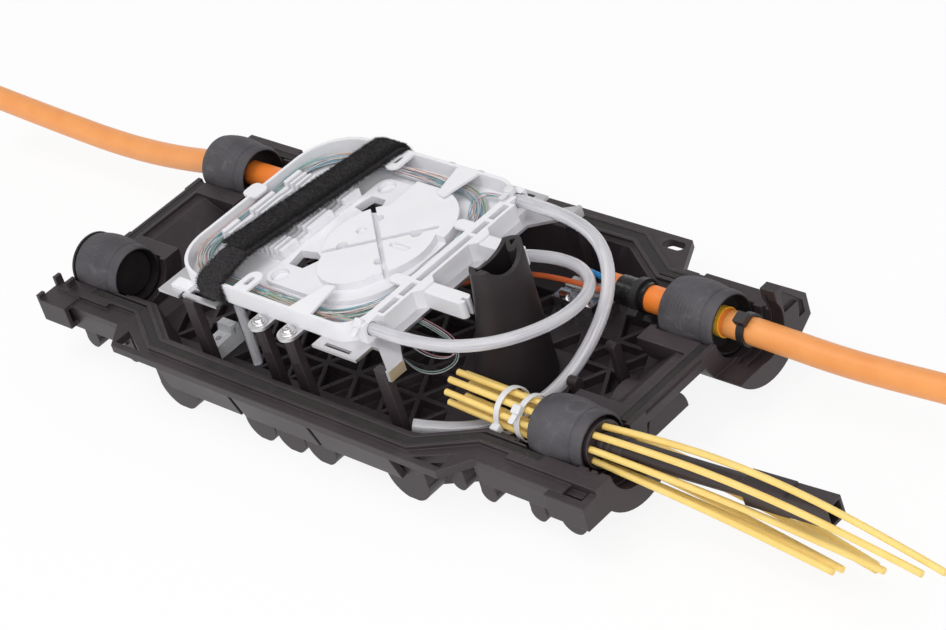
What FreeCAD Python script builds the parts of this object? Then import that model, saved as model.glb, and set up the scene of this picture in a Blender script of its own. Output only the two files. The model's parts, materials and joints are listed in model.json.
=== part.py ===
import FreeCAD, Part
import math
import os

# Lower half of an inline splice closure with its lid off.
# X runs along the cables, +Y to the rear, +Z up; the origin is on the ground under the shell's middle.

# Shell levels above the ground
port_axis_height = 34.0
floor_underside = 3.0
floor_skin = 3.0
lattice_height = 5.0

# Ports and their rubber seals
port_spacing_x = 300.0
port_spacing_y = 87.0
seal_length = 30.0
seal_radius = 15.7
seal_recess_radius = 12.4
seal_recess_depth = 6.5
seat_clearance = 0.3
cradle_wall = 8.5
cradle_lip = 1.5
cradle_lip_length = 3.7

# Rim: the gasket's path in plan, and the flange around it
rim_half_width = 78.0
rim_half_end = 61.0
rim_past_port = 13.0
rim_mid_x = 84.0
rim_waist_x = 112.0
rail_height = 2.0
rail_width = 1.8
groove_width = 4.5
gasket_gap = 0.1
gasket_height = 1.7
rim_inset = 6.0
rim_end_inset = 3.0
flange_side_margin = 9.0
flange_end_margin = 5.0
flange_front_end = 74.0
flange_rear_end = 68.0
flange_mid_x = 107.0
flange_waist_x = 117.0
flange_thickness = 4.0

# Hull, skirt panels and feet
saddle_reach_right = 14.0
saddle_reach_left = 4.0
saddle_drop = 14.0
saddle_groove_width = 2.2
saddle_groove_pitch = 5.0
saddle_groove_depth = 1.5
hull_wall = 3.0
hull_draft = 4.0
hull_end_run = 34.0
panel_count = 3
panel_pitch = 52.0
panel_gap = 3.0
panel_height = 14.0
panel_thickness = 3.2
panel_draft = 4.0
end_panel_height = 10.0
foot_radius = 9.6
foot_pitch = 20.0
outer_foot_radius = 13.0
outer_foot_x = 76.0
foot_inset = 7.0
foot_flat = 0.4
knob_x = (100.0, 118.0, 147.0)
knob_radius = 4.5
knob_inner_y = 52.0
knob_outer_y = 72.0
knob_level = 12.0

# Floor lattice
lattice_pitch = 20.0
lattice_rib = 2.0

# Corner fittings
ear_thickness = 8.0
ear_edge = 74.0
ear_rise = 13.0
ear_width = 18.0
ear_drop = 16.0
ear_wall = 3.0
end_block_length = 22.0
end_block_depth = 12.0
end_block_width = 18.0
end_block_edge = 77.0
end_block_sink = 3.0
end_knob_radius = 7.0
end_recess = 4.0
end_pad_gap = 2.0
lug_length = 20.0
lug_edge = 78.0
lug_width = 16.0
lug_depth = 12.0
lug_pocket = 7.0
lug_wall = 2.2
prong_thickness = 2.0
prong_height = 5.0
prong_gap = 10.0
rear_lug_edge = 70.0
corner_slot_length = 12.0
corner_slot_width = 6.0
tie_post_x = 121.0
tie_post_y = 13.0
tie_post_width = 5.0

# Centre tower
tower_x = 85.0
tower_y = -5.0
tower_height = 71.0
tower_half_x = 8.0
tower_half_y = 15.0
tower_flare = 9.0
tower_lean_x = -8.0
tower_lean_y = -5.0
tower_wall = 2.4

# Tray bracket on its posts
bracket_height = 54.0
bracket_sheet = 1.5
bracket_left = -80.0
bracket_right = 66.0
bracket_half_width = 54.0
post_width = 7.0
post_depth = 4.0
post_row_gap = 0.6
outer_post_x = (-66.0, 60.0)
screw_post_x = (-18.0, 1.0)
screw_radius = 2.0
screw_head_radius = 4.0
screw_head_height = 2.6
screw_grip = 9.0

# Splice tray
tray_left = -86.0
tray_right = 40.0
tray_half_width = 58.0
tray_height = 9.5
tray_floor = 1.8
tray_wall = 1.8
tab_thickness = 1.3
tray_left_radius = 26.0
tray_right_radius = 14.0
island_left = -37.0
island_right = 30.0
island_plate = 2.4
island_half_width = 42.0
island_left_radius = 6.0
island_right_radius = 30.0
lobe_centre_x = 1.0
lobe_radius = 27.0
front_lobe_radius = 18.0
front_lobe_y = -16.0
rear_lobe_left = -14.0
lobe_sink = 1.8
cross_slot_width = 2.4
cross_slot_length = 56.0
cross_angles = (42.0, 140.0)
hinge_bar_width = 7.0
hinge_bar_half_length = 44.0
prong_length = 27.0
prong_width = 7.5
prong_offset = 18.5
holder_left = -79.0
holder_right = -37.0
holder_half_length = 26.0
holder_pitch = 3.5
holder_slot = 2.0

# Hook-and-loop strap
strap_width = 15.5
strap_x = -51.0
strap_slant = 0.135
strap_thickness = 1.8
strap_gap = 0.3

# Cables, tubes and cords
trunk_diameter = 12.4
trunk_end_x = 95.0
left_trunk_end_x = -118.0
tape_length = 17.0
tape_inset = 8.0
sheath_tie_inset = 20.0
cable_tie_offset = 10.0
tie_width = 3.6
tie_thickness = 1.2
outer_tie_x = 126.0
inner_tie_x = 114.0
tape_thickness = 0.7
band_gap = 0.1
loose_tube_diameter = 2.6
tube_a_diameter = 6.2
tube_b_diameter = 5.8
drop_diameter = 3.0
drop_count = 8
drop_circle = 8.0
drop_hole_gap = 0.4
drop_inner_x = 82.0
drop_gather = 0.9
drop_lift = 2.5
spare_tube_diameter = 4.6
spare_tube_x = -47.0
spare_tube_inset = 2.4
spare_tube_run = 18.5
spare_tube_swing = 3.0
tube_fit = 0.3
fibre_bundle_diameter = 3.2

# Drop insert, strain-relief arm and blank plug
insert_length = 25.0
arm_radius = 5.0
arm_rib = 0.6
arm_collar = 0.6
arm_pin_x = 32.0
arm_tip_radius = 4.6
arm_tip_half = 5.0
arm_length = 132.0
arm_clip_start = 88.0
arm_end_start = 112.0
arm_rise_degrees = 4.0
arm_seat_depth = 7.5
arm_fit = 0.3
plug_stem_radius = 7.5
plug_disc_radius = 14.4
plug_disc_thickness = 2.0


def vec(x, y, z=0.0):
    return FreeCAD.Vector(x, y, z)


x_axis = vec(1, 0, 0)
y_axis = vec(0, 1, 0)
z_axis = vec(0, 0, 1)


def block(x0, x1, y0, y1, z0, z1):
    return Part.makeBox(x1 - x0, y1 - y0, z1 - z0, vec(x0, y0, z0))


def outline(points, z):
    corners = [vec(x, y, z) for x, y in points]
    return Part.makePolygon(corners + corners[:1])


def prism(points, z0, z1):
    return Part.Face(outline(points, z0)).extrude(vec(0, 0, z1 - z0))


def ruled(lower, z0, upper, z1):
    return Part.makeLoft([outline(lower, z0), outline(upper, z1)], True, True)


def section_along_x(points, x0, x1):
    corners = [vec(x0, y, z) for y, z in points]
    face = Part.Face(Part.makePolygon(corners + corners[:1]))
    return face.extrude(vec(x1 - x0, 0, 0))


def rod(radius, start, axis, length):
    return Part.makeCylinder(radius, length, start, axis)


def fused(shapes):
    return shapes[0].multiFuse(shapes[1:]).removeSplitter()


def flipped_y(shape):
    return shape.mirror(vec(0, 0, 0), y_axis)


def flipped_x(shape):
    return shape.mirror(vec(0, 0, 0), x_axis)


def both_sides(shape):
    return [shape, flipped_y(shape)]


def four_corners(shape):
    return both_sides(shape) + both_sides(flipped_x(shape))


def rounded_block(x0, x1, y0, y1, z0, z1, left_radius, right_radius):
    solid = block(x0, x1, y0, y1, z0, z1)
    for x, radius in ((x0, left_radius), (x1, right_radius)):
        upright = [e for e in solid.Edges
                   if e.BoundBox.ZLength > 0.9 * (z1 - z0) and abs(e.BoundBox.Center.x - x) < 0.01]
        solid = solid.makeFillet(radius, upright)
    return solid


def revolved_about_x(profile):
    # profile is a list of (distance along X, radius) that closes on itself
    corners = [vec(u, 0, r) for u, r in profile]
    face = Part.Face(Part.makePolygon(corners + corners[:1]))
    return face.revolve(vec(0, 0, 0), x_axis, 360)


def ring_about_x(x, width, inner_radius, outer_radius, y, z):
    outer = rod(outer_radius, vec(x - width / 2, y, z), x_axis, width)
    return outer.cut(rod(inner_radius, vec(x - width, y, z), x_axis, 2 * width))


def waisted(half_mid, front_end, rear_end, mid_x, waist_x, half_length):
    # plan outline that is wide in the middle and steps in towards the ports
    rear = [(half_length, rear_end), (waist_x, rear_end), (mid_x, half_mid)]
    front = [(half_length, front_end), (waist_x, front_end), (mid_x, half_mid)]
    rear += [(-x, y) for x, y in reversed(rear)]
    front += [(-x, y) for x, y in reversed(front)]
    return rear + [(x, -y) for x, y in reversed(front)]


def rim_offset(distance):
    # the rim's path moved outwards by a distance, with its diagonals kept parallel
    turn = math.atan2(rim_half_width - rim_half_end, rim_waist_x - rim_mid_x)
    shift = distance * math.tan(turn / 2)
    return waisted(rim_half_width + distance, rim_half_end + distance, rim_half_end + distance,
                   rim_mid_x + shift, rim_waist_x + shift, rim_half_length + distance)


# Levels and radii that follow from the sizes above
port_x = port_spacing_x / 2
port_y = port_spacing_y / 2
rim_half_length = port_x + rim_past_port
rim_end_x = port_x - rim_end_inset
flange_half_width = rim_half_width + flange_side_margin
flange_half_length = rim_half_length + flange_end_margin
shell_right = flange_half_length + saddle_reach_right
shell_left = flange_half_length + saddle_reach_left
foot_half_length = flange_half_width - foot_inset
seat_radius = seal_radius + seat_clearance
cradle_radius = seat_radius + cradle_wall
saddle_radius = seat_radius - cradle_lip
seal_inner_x = port_x - seal_length / 2
seal_outer_x = port_x + seal_length / 2
floor_top = floor_underside + floor_skin
lattice_top = floor_top + lattice_height
flange_top = port_axis_height - rail_height
flange_under = flange_top - flange_thickness
trunk_radius = trunk_diameter / 2
bracket_top = bracket_height + bracket_sheet
tray_base = bracket_top
tray_floor_top = tray_base + tray_floor
tray_top = tray_base + tray_height
post_row_y = tray_half_width + screw_head_radius + post_row_gap
tab_edge_y = post_row_y + 2.0
port_centres = [(sx * port_x, sy * port_y) for sx in (-1, 1) for sy in (-1, 1)]

# Places on the floor that carry a fitting and stay solid
clamp_x = 75.0
clamp_y = 44.0
clamp_length = 24.0
clamp_width = 16.0
clamp_height = 13.0
mount_x = -77.0
mount_y = -47.0
mount_length = 9.4
mount_width = 15.6
mount_height = 11.5
mount_low = 7.0
mount_step = 5.0
mount_slot = 1.8
mount_bore = 1.6
tower_base_x = tower_x + tower_lean_x
tower_base_y = tower_y + tower_lean_y
tower_base_half_x = tower_half_x + tower_flare
tower_base_half_y = tower_half_y + tower_flare
floor_pads = [(tower_base_x, tower_base_y, tower_base_half_x, tower_base_half_y),
              (clamp_x, clamp_y, clamp_length / 2, clamp_width / 2),
              (mount_x, mount_y, mount_length / 2, mount_width / 2)]


def floor_half_width(x):
    # inner half width of the tub at floor level
    inner_mid = rim_half_width - rim_inset - hull_draft
    inner_end = rim_half_end - rim_inset - hull_draft
    share = (abs(x) - rim_mid_x) / (rim_waist_x - rim_mid_x)
    return inner_mid + (inner_end - inner_mid) * min(1.0, max(0.0, share))


def on_pad(x, y):
    return any(((x - px) / (ax + lattice_rib)) ** 2 + ((y - py) / (ay + lattice_rib)) ** 2 < 1.2
               for px, py, ax, ay in floor_pads)


def lattice_pockets():
    # triangular pockets that leave ribs in three directions on the floor
    row = lattice_pitch * math.sqrt(3) / 2
    shrink = 1 - (lattice_rib / 2) / (row / 3)
    reach_x = seal_inner_x - cradle_lip_length - lattice_rib
    columns = int(reach_x / lattice_pitch) + 2
    rows = int(rim_half_width / row) + 1
    pockets = []
    for j in range(-rows, rows):
        for i in range(-columns, columns):
            x0 = (i + 0.5 * (j % 2)) * lattice_pitch
            y0 = j * row
            tip = (x0 + lattice_pitch / 2, y0 + row)
            right = (x0 + lattice_pitch, y0)
            for triangle in ([(x0, y0), right, tip], [right, (tip[0] + lattice_pitch, tip[1]), tip]):
                cx = sum(p[0] for p in triangle) / 3
                cy = sum(p[1] for p in triangle) / 3
                small = [(cx + (x - cx) * shrink, cy + (y - cy) * shrink) for x, y in triangle]
                inside = all(abs(x) < reach_x and abs(y) < floor_half_width(x) - lattice_rib
                             for x, y in small)
                if inside and not any(on_pad(x, y) for x, y in small + [(cx, cy)]):
                    pockets.append(prism(small, floor_top, lattice_top + 1))
    return pockets


def hull():
    inner_top = rim_offset(-rim_inset)
    outer_top = rim_offset(-rim_inset + hull_wall)
    outer_bottom = rim_offset(-rim_inset + hull_wall - hull_draft)
    outer_bottom = [(max(-1, min(1, x / (rim_half_length - hull_end_run)))
                     * (rim_half_length - hull_end_run), y) for x, y in outer_bottom]
    inner_bottom = rim_offset(-rim_inset - hull_draft)
    inner_bottom = [(max(-1, min(1, x / (rim_half_length - hull_end_run)))
                     * (rim_half_length - hull_end_run - hull_wall), y) for x, y in inner_bottom]
    outside = ruled(outer_bottom, floor_underside, outer_top, flange_top)
    cavity = ruled(inner_bottom, lattice_top, inner_top, port_axis_height + 1)
    return outside, cavity


def skirt_panels():
    # flat drafted panels hung under the flange's edge, with narrow gaps between them
    panels = []
    top = flange_under + 0.5
    face = [(flange_half_width - panel_thickness, top), (flange_half_width, top),
            (flange_half_width - panel_draft, flange_under - panel_height),
            (flange_half_width - panel_draft - panel_thickness, flange_under - panel_height)]
    for k in range(panel_count):
        centre = (k - (panel_count - 1) / 2) * panel_pitch
        half = (panel_pitch - panel_gap) / 2
        panels += both_sides(section_along_x(face, centre - half, centre + half))
    for edge, side in ((flange_front_end, -1), (flange_rear_end, 1)):
        end_face = [(side * (edge - panel_thickness), top), (side * edge, top),
                    (side * (edge - 1), flange_under - end_panel_height),
                    (side * (edge - 1 - panel_thickness), flange_under - end_panel_height)]
        panel = section_along_x(end_face, flange_waist_x + 1, flange_half_length - 8)
        panels += [panel, flipped_x(panel)]
    return panels


def feet():
    # half-round ribs across the underside that the shell stands on
    shapes = []
    for x, radius in ((0.0, foot_radius), (foot_pitch, foot_radius), (-foot_pitch, foot_radius),
                      (outer_foot_x, outer_foot_radius), (-outer_foot_x, outer_foot_radius)):
        bar = rod(radius, vec(x, -foot_half_length, radius - foot_flat), y_axis, 2 * foot_half_length)
        shapes.append(bar.common(block(x - radius, x + radius, -foot_half_length, foot_half_length,
                                       0, lattice_top)))
        web_y = foot_half_length - 6
        for y0, y1 in ((-foot_half_length, -web_y), (web_y, foot_half_length)):
            shapes.append(block(x - radius * 0.97, x + radius * 0.97, y0, y1,
                                min(radius, lattice_top) - 1, flange_under + 0.5))
    for x in knob_x:
        bar = rod(knob_radius, vec(x, knob_inner_y, knob_level), y_axis, knob_outer_y - knob_inner_y)
        half = 0.95 * knob_radius
        web = block(x - half, x + half, knob_inner_y, knob_outer_y, knob_level, flange_under + 0.5)
        shapes += four_corners(fused([bar, web]))
    return shapes


def port_cradles():
    # half tubes that hold the seals and run out to the ends as open saddles
    cradles = []
    inner = seal_inner_x - cradle_lip_length
    for sx, reach in ((1, shell_right), (-1, shell_left)):
        start = min(sx * inner, sx * reach)
        for y in (-port_y, port_y):
            tube = rod(cradle_radius, vec(start, y, port_axis_height), x_axis, reach - inner)
            half = block(start, start + reach - inner, y - cradle_radius, y + cradle_radius,
                         port_axis_height - cradle_radius, port_axis_height)
            cradles.append(tube.common(half))
    return cradles


def saddle_cuts():
    # beyond the end bars the saddles stay low, so that a cable can be laid in
    low = port_axis_height - saddle_drop
    high = port_axis_height + 1
    right = block(flange_half_length, shell_right + 1, -port_y, port_y, low, high)
    left = block(-shell_left - 1, -flange_half_length, -flange_front_end, flange_front_end, low, high)
    return [right, left]


def port_bores():
    bores = []
    for x, y in port_centres:
        bores.append(rod(seat_radius, vec(x - seal_length / 2 - seat_clearance, y, port_axis_height),
                         x_axis, seal_length + 2 * seat_clearance))
        reach = shell_right + cradle_wall
        start = seal_inner_x - 2 * cradle_lip_length if x > 0 else -reach
        bores.append(rod(saddle_radius, vec(start, y, port_axis_height),
                         x_axis, reach - (seal_inner_x - 2 * cradle_lip_length)))
        if x > 0:
            bores += saddle_grooves(y)
    return bores


def saddle_grooves(y):
    # rings in the open saddles that leave ribs to hold a cable's jacket
    first = seal_outer_x + saddle_groove_pitch
    count = int((shell_right - first) / saddle_groove_pitch)
    return [rod(saddle_radius + saddle_groove_depth,
                vec(first + k * saddle_groove_pitch, y, port_axis_height),
                x_axis, saddle_groove_width) for k in range(count)]


def corner_fittings():
    # raised ear at the rear right, block with a recess at the front right, lug at the front left
    z = port_axis_height
    inner_y = ear_edge - ear_width
    ear = section_along_x([(inner_y, z - ear_drop), (ear_edge - ear_drop / 2, z - ear_drop),
                           (ear_edge, z - ear_drop * 0.7), (ear_edge, z), (ear_edge - ear_rise, z + ear_rise),
                           (inner_y, z + ear_rise)], shell_right - ear_thickness, shell_right)
    inset_y = inner_y + ear_wall
    rise = ear_rise - ear_wall
    face_cut = section_along_x([(inset_y, z - ear_drop / 2), (ear_edge - ear_wall, z - ear_drop / 2),
                                (ear_edge - ear_wall, z - ear_wall / 2), (ear_edge - ear_rise, z + rise),
                                (inset_y, z + rise)], shell_right - ear_wall / 2, shell_right + 1)
    top = z - end_block_sink
    start = shell_right - end_block_length
    inner_edge = end_block_edge - end_block_width
    corner = block(start, shell_right, -end_block_edge, -inner_edge, top - end_block_depth, top)
    recess = block(start + 1.5 * end_recess, shell_right - end_recess, -end_block_edge + end_recess,
                   -inner_edge - end_recess, top - end_recess, top + 1)
    pad = block(start + 1.5 * end_recess + end_pad_gap, shell_right - end_recess - end_pad_gap,
                -end_block_edge + end_recess + end_pad_gap, -inner_edge - end_recess - end_pad_gap,
                top - end_recess - 1, top - end_recess / 3)
    knob = rod(end_knob_radius, vec(start + end_block_length / 2, -end_block_edge + 2, top - end_block_depth),
               y_axis, end_block_width - 2)
    lug = block(-shell_left, -shell_left + lug_length, -lug_edge, -lug_edge + lug_width, z - 1 - lug_depth,
                z - 1)
    inner_lug_y = -lug_edge + lug_width
    pocket = block(-shell_left + lug_length - lug_pocket, -shell_left + lug_length + 1, -lug_edge + lug_wall,
                   inner_lug_y - lug_wall, z - 1 - lug_depth + lug_wall, z - 1 - lug_wall)
    lip = block(-shell_left, -shell_left + prong_thickness, -lug_edge, -lug_edge + 2 * prong_thickness,
                z - 2, z - 1 + prong_height / 2)
    prongs = [block(x, x + prong_thickness, inner_lug_y - 2 * prong_thickness, inner_lug_y, z - 2,
                    z - 1 + prong_height)
              for x in (-shell_left, -shell_left + prong_gap)]
    rear_lug = block(-shell_left, -shell_left + lug_length, rear_lug_edge - lug_width / 2, rear_lug_edge,
                     z - 1 - lug_depth, z - 2)
    return [ear.cut(face_cut), corner.cut(recess), pad, knob, lug.cut(pocket), lip, rear_lug] + prongs


def corner_cuts():
    # through slot in the rear right shoulder, triangular pockets in the other shoulders
    x0 = flange_mid_x - corner_slot_length
    y0 = flange_half_width - 3 - corner_slot_width
    slot = rounded_block(x0, x0 + corner_slot_length, y0, y0 + corner_slot_width, flange_under - 1,
                         port_axis_height,
                         corner_slot_width / 2 - 0.2, corner_slot_width / 2 - 0.2)
    edge = flange_half_width - 3
    pocket = prism([(flange_mid_x, edge), (flange_mid_x - 17, edge), (flange_mid_x, edge - 9)],
                   flange_under - 1, port_axis_height)
    return [slot, flipped_y(pocket), flipped_x(pocket), flipped_x(flipped_y(pocket))]


def bracket_posts():
    posts = []
    for x in outer_post_x + screw_post_x:
        column = block(x - post_width / 2, x + post_width / 2, post_row_y - post_depth / 2,
                       post_row_y + post_depth / 2, floor_top, bracket_height)
        posts += both_sides(column)
    for x in screw_post_x:
        boss = rod(post_width / 2, vec(x, post_row_y, bracket_height - 14), z_axis, 14)
        posts += both_sides(boss)
    return posts


def post_bores():
    return [shape for x in screw_post_x
            for shape in both_sides(rod(screw_radius, vec(x, post_row_y, bracket_height - 10), z_axis, 11))]


def tie_posts():
    post = block(tie_post_x, tie_post_x + 3, tie_post_y - tie_post_width / 2, tie_post_y + tie_post_width / 2,
                 floor_top, flange_top - 2)
    hook = rod(tie_post_width / 2, vec(tie_post_x - 2, tie_post_y, flange_top - 2), x_axis, 5)
    return four_corners(fused([post, hook]))


def end_bosses():
    inner = rim_half_length - rim_inset
    dome = rod(13, vec(inner - 22, 0, lattice_top), x_axis, 24)
    dome = dome.common(block(inner - 22, inner + 2, -13, 13, lattice_top - 1, lattice_top + 13))
    return [dome, flipped_x(dome)]


def rim_span():
    # where the rim carries its rails: the long sides up to the seals, and the bars between two ports
    reach = 2 * shell_right
    sides = block(-rim_end_x, rim_end_x, -reach, reach, 0, reach)
    return sides.fuse(block(-reach, reach, -port_y, port_y, 0, reach))


def base_shell():
    outside, cavity = hull()
    flange = prism(waisted(flange_half_width, flange_front_end, flange_rear_end, flange_mid_x, flange_waist_x,
                           flange_half_length), flange_under, flange_top)
    band = groove_width / 2 + rail_width
    rails = prism(rim_offset(band), flange_top, port_axis_height)
    rails = rails.cut(prism(rim_offset(-band), flange_top - 1, port_axis_height + 1))
    groove = prism(rim_offset(groove_width / 2), flange_top, port_axis_height + 1)
    groove = groove.cut(prism(rim_offset(-groove_width / 2), flange_top - 1, port_axis_height + 2))
    shell = fused([outside, flange] + feet())
    shell = shell.cut(cavity)
    shell = fused([shell, rails.common(rim_span())] + skirt_panels() + port_cradles())
    shell = shell.cut(Part.makeCompound(saddle_cuts() + [groove.common(rim_span())]))
    shell = fused([shell] + corner_fittings())
    shell = shell.cut(Part.makeCompound(port_bores() + corner_cuts()))
    shell = shell.cut(Part.makeCompound(lattice_pockets()))
    shell = fused([shell] + bracket_posts() + tie_posts() + end_bosses())
    return shell.cut(Part.makeCompound(post_bores())).removeSplitter()


def gaskets():
    # one cord between each pair of ports, lying in the groove of the rim
    half = groove_width / 2 - gasket_gap
    loop = prism(rim_offset(half), flange_top, flange_top + gasket_height)
    loop = loop.cut(prism(rim_offset(-half), flange_top - 1, flange_top + gasket_height + 1))
    clear = seat_radius + seat_clearance
    for x, y in port_centres:
        loop = loop.cut(rod(clear, vec(x - port_x, y, port_axis_height), x_axis, 2 * port_x))
    reach = 2 * shell_right
    end_x = rim_end_x - gasket_gap
    sides = {"gasket_rear": block(-end_x, end_x, port_y, reach, 0, reach),
             "gasket_front": block(-end_x, end_x, -reach, -port_y, 0, reach),
             "gasket_right": block(0, reach, -port_y, port_y, 0, reach),
             "gasket_left": block(-reach, 0, -port_y, port_y, 0, reach)}
    pieces = {}
    for name, region in sides.items():
        found = sorted(loop.common(region).Solids, key=lambda s: s.Volume)
        pieces[name] = found[-1]
    return pieces


def port_seal(bore_radius):
    # barrel of rubber with a stepped ring at its +X end and a recess in both ends
    half = seal_length / 2
    body = [(-half, seal_radius - 2.2), (-half + 1.2, seal_radius - 1.2), (-half * 0.6, seal_radius - 0.3),
            (-half * 0.2, seal_radius), (half * 0.2, seal_radius - 0.2), (half * 0.6, seal_radius - 0.9),
            (half * 0.6, seal_radius - 1.4), (half * 0.68, seal_radius - 1.4),
            (half * 0.68, seal_radius - 1.1),
            (half * 0.92, seal_radius - 1.6), (half, seal_radius - 2.2)]
    inside = [(half, seal_recess_radius + 0.6), (half - seal_recess_depth, seal_recess_radius),
              (half - seal_recess_depth, bore_radius), (-half + seal_recess_depth, bore_radius),
              (-half + seal_recess_depth, seal_recess_radius), (-half, seal_recess_radius + 0.6)]
    return revolved_about_x(body + inside)


def seals():
    bores = {"front_left_seal": plug_stem_radius + seat_clearance,
             "rear_left_seal": trunk_radius + seat_clearance,
             "front_right_seal": insert_radius + seat_clearance,
             "rear_right_seal": trunk_radius + seat_clearance}
    pieces = {}
    for (name, bore), (x, y) in zip(bores.items(), port_centres):
        pieces[name] = port_seal(bore).translated(vec(x, y, port_axis_height))
    return pieces


def blank_plug():
    half = seal_length / 2
    neck = half - seal_recess_depth
    lip = half + seat_clearance
    profile = [(-lip - plug_disc_thickness, 0), (-lip - plug_disc_thickness, plug_disc_radius - 0.8),
               (-lip - plug_disc_thickness + 0.8, plug_disc_radius), (-lip, plug_disc_radius),
               (-lip, plug_stem_radius), (neck + seat_clearance, plug_stem_radius),
               (neck + seat_clearance, seal_recess_radius - 1),
               (neck + 3, seal_recess_radius - 1.6), (neck + 3, 0)]
    return revolved_about_x(profile).translated(vec(-port_x, -port_y, port_axis_height))


insert_radius = drop_circle + drop_diameter / 2 + drop_hole_gap + 0.9
insert_start_x = seal_outer_x - insert_length
drop_angles = [math.radians(360.0 / drop_count * (k + 0.5)) for k in range(drop_count)]
drop_seats = [(-port_y + drop_circle * math.cos(a), port_axis_height + drop_circle * math.sin(a))
              for a in drop_angles]


def drop_insert():
    hub = rod(insert_radius, vec(insert_start_x, -port_y, port_axis_height), x_axis, insert_length + 1)
    holes = [rod(drop_diameter / 2 + drop_hole_gap, vec(insert_start_x - 1, y, z), x_axis, insert_length + 3)
             for y, z in drop_seats]
    seat = rod(arm_radius + arm_fit, vec(-arm_fit, 0, 0), x_axis, 2 * arm_seat_depth)
    holes.append(on_arm_axis(seat))
    return hub.cut(Part.makeCompound(holes))


def on_arm_axis(shape):
    # from the arm's own axis along X to its place in the insert
    shape.rotate(vec(0, 0, 0), y_axis, -arm_rise_degrees)
    return shape.translated(vec(seal_outer_x - arm_seat_depth, -port_y, port_axis_height))


def relief_arm():
    # spigot in the insert, ribbed hub, collar, tapered tube and square open end
    hub = arm_radius + arm_rib
    collar = arm_radius + arm_collar
    profile = [(0, 0), (0, arm_radius), (10, arm_radius), (10, hub), (12, hub), (12, arm_radius),
               (14, arm_radius),
               (14, hub), (16, hub), (16, arm_radius), (18, arm_radius), (18, collar), (23, collar),
               (23, arm_radius), (arm_end_start, arm_tip_radius), (arm_end_start, 0)]
    arm = revolved_about_x(profile)
    tip = arm_tip_half
    wall = 0.25 * tip
    end = block(arm_end_start - 1, arm_length, -tip, tip, -tip, tip)
    clip = block(arm_clip_start, arm_end_start - 1, -tip, tip, -tip - arm_rib, tip + arm_rib)
    mouth = block(arm_end_start + 4, arm_length + 1, -tip + wall, tip - wall, -tip + wall, tip - wall)
    pin_hole = rod(1.2, vec(arm_pin_x, -2 * arm_radius, 0), y_axis, 4 * arm_radius)
    return on_arm_axis(fused([arm, end, clip]).cut(Part.makeCompound([mouth, pin_hole])))


def cord_tube(name, points, diameter):
    # straight runs joined by arcs that are tangent to both runs
    nodes = [vec(*p) for p in points]
    edges = []
    radii = []
    last = nodes[0]
    for before, corner, after in zip(nodes, nodes[1:], nodes[2:]):
        inward = (corner - before).normalize()
        outward = (after - corner).normalize()
        half_turn = inward.getAngle(outward) / 2
        reach = 0.45 * min(before.distanceToPoint(corner), corner.distanceToPoint(after))
        radius = reach / math.tan(half_turn)
        towards = (outward - inward).normalize()
        middle = corner + towards * (radius / math.cos(half_turn) - radius)
        arc_start = corner - inward * reach
        arc_end = corner + outward * reach
        edges.append(Part.LineSegment(last, arc_start).toShape())
        edges.append(Part.Arc(arc_start, middle, arc_end).toShape())
        radii.append(round(radius, 1))
        last = arc_end
    edges.append(Part.LineSegment(last, nodes[-1]).toShape())
    path = Part.Wire(edges)
    section = Part.Wire(Part.makeCircle(diameter / 2, nodes[0], nodes[1] - nodes[0]))
    tube = path.makePipeShell([section], True, False)
    share = tube.Volume / (math.pi * diameter ** 2 / 4 * path.Length)
    print(name, "length", round(path.Length, 1), "radii", radii, "volume share", round(share, 3))
    return tube


# Cord routes, each from where it leaves its fitting
trunk_left_route = [(-seal_outer_x, port_y, port_axis_height), (-178, port_y, port_axis_height),
                    (-234, port_y, 24.2), (-293.5, port_y, 25), (-352, port_y, 28.6)]
trunk_right_route = [(seal_outer_x, port_y, port_axis_height), (190, port_y, port_axis_height),
                     (226, port_y, 31.8), (262, port_y, 33.6), (296, port_y, 36.8)]
tube_a_route = [(35, 50.5, 61.5), (67, 50.5, 62.5), (102, 41.5, 62), (120, 21, 50), (116.5, -9, 28),
                (102, -34, 18.5), (85, -54, 21), (70, -64, 27)]
tube_b_route = [(36, -48.8, 61), (72, -50, 61), (104, -37, 61.5), (119, -9, 59), (113, 19, 54.5),
                (91, 35, 50),
                (64, 36, 47.5), (45, 29.5, 46)]
orange_tube_route = [(94, 41, 32), (62, 43, 30), (33, 35, 29), (12, 15, 28)]
blue_tube_route = [(94, 46.5, 33), (66, 52, 33), (37, 44, 33.5), (19, 14, 33)]
spare_tube_y = spare_tube_inset - bracket_half_width
spare_tube_route = [(spare_tube_x, spare_tube_y, bracket_height),
                    (spare_tube_x, spare_tube_y, bracket_height - spare_tube_run),
                    (spare_tube_x + spare_tube_swing, spare_tube_y - spare_tube_swing,
                     bracket_height - 1.97 * spare_tube_run)]
drop_ends = [(295, -34, 10), (346, -51, 40.7), (338, -55, 40.2), (314, -50, 28), (292, -55.2, 23),
             (292, -50, 20), (288, -46, 15), (300, -40, 14.5)]
drop_bows = [6.0, 11.0, 6.5, 2.5, 1.5, 1.5, 2.0, 4.0]


def drop_route(index):
    # from its hole to its free end, bowed upwards by its own height at the middle
    y, z = drop_seats[index]
    end_x, end_y, end_z = drop_ends[index]
    start_x = seal_outer_x + 1
    points = []
    for share in (0.0, 0.23, 0.5, 0.77, 1.0):
        bow = 4 * drop_bows[index] * share * (1 - share)
        points.append((start_x + (end_x - start_x) * share, y + (end_y - y) * share,
                       z + (end_z - z) * share + bow))
    return points


stub_knee_x = insert_start_x - 2


def stub_share(x):
    # how far a place along the stubs lies between their knee and their cut ends
    return (stub_knee_x - x) / (stub_knee_x - drop_inner_x)


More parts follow.
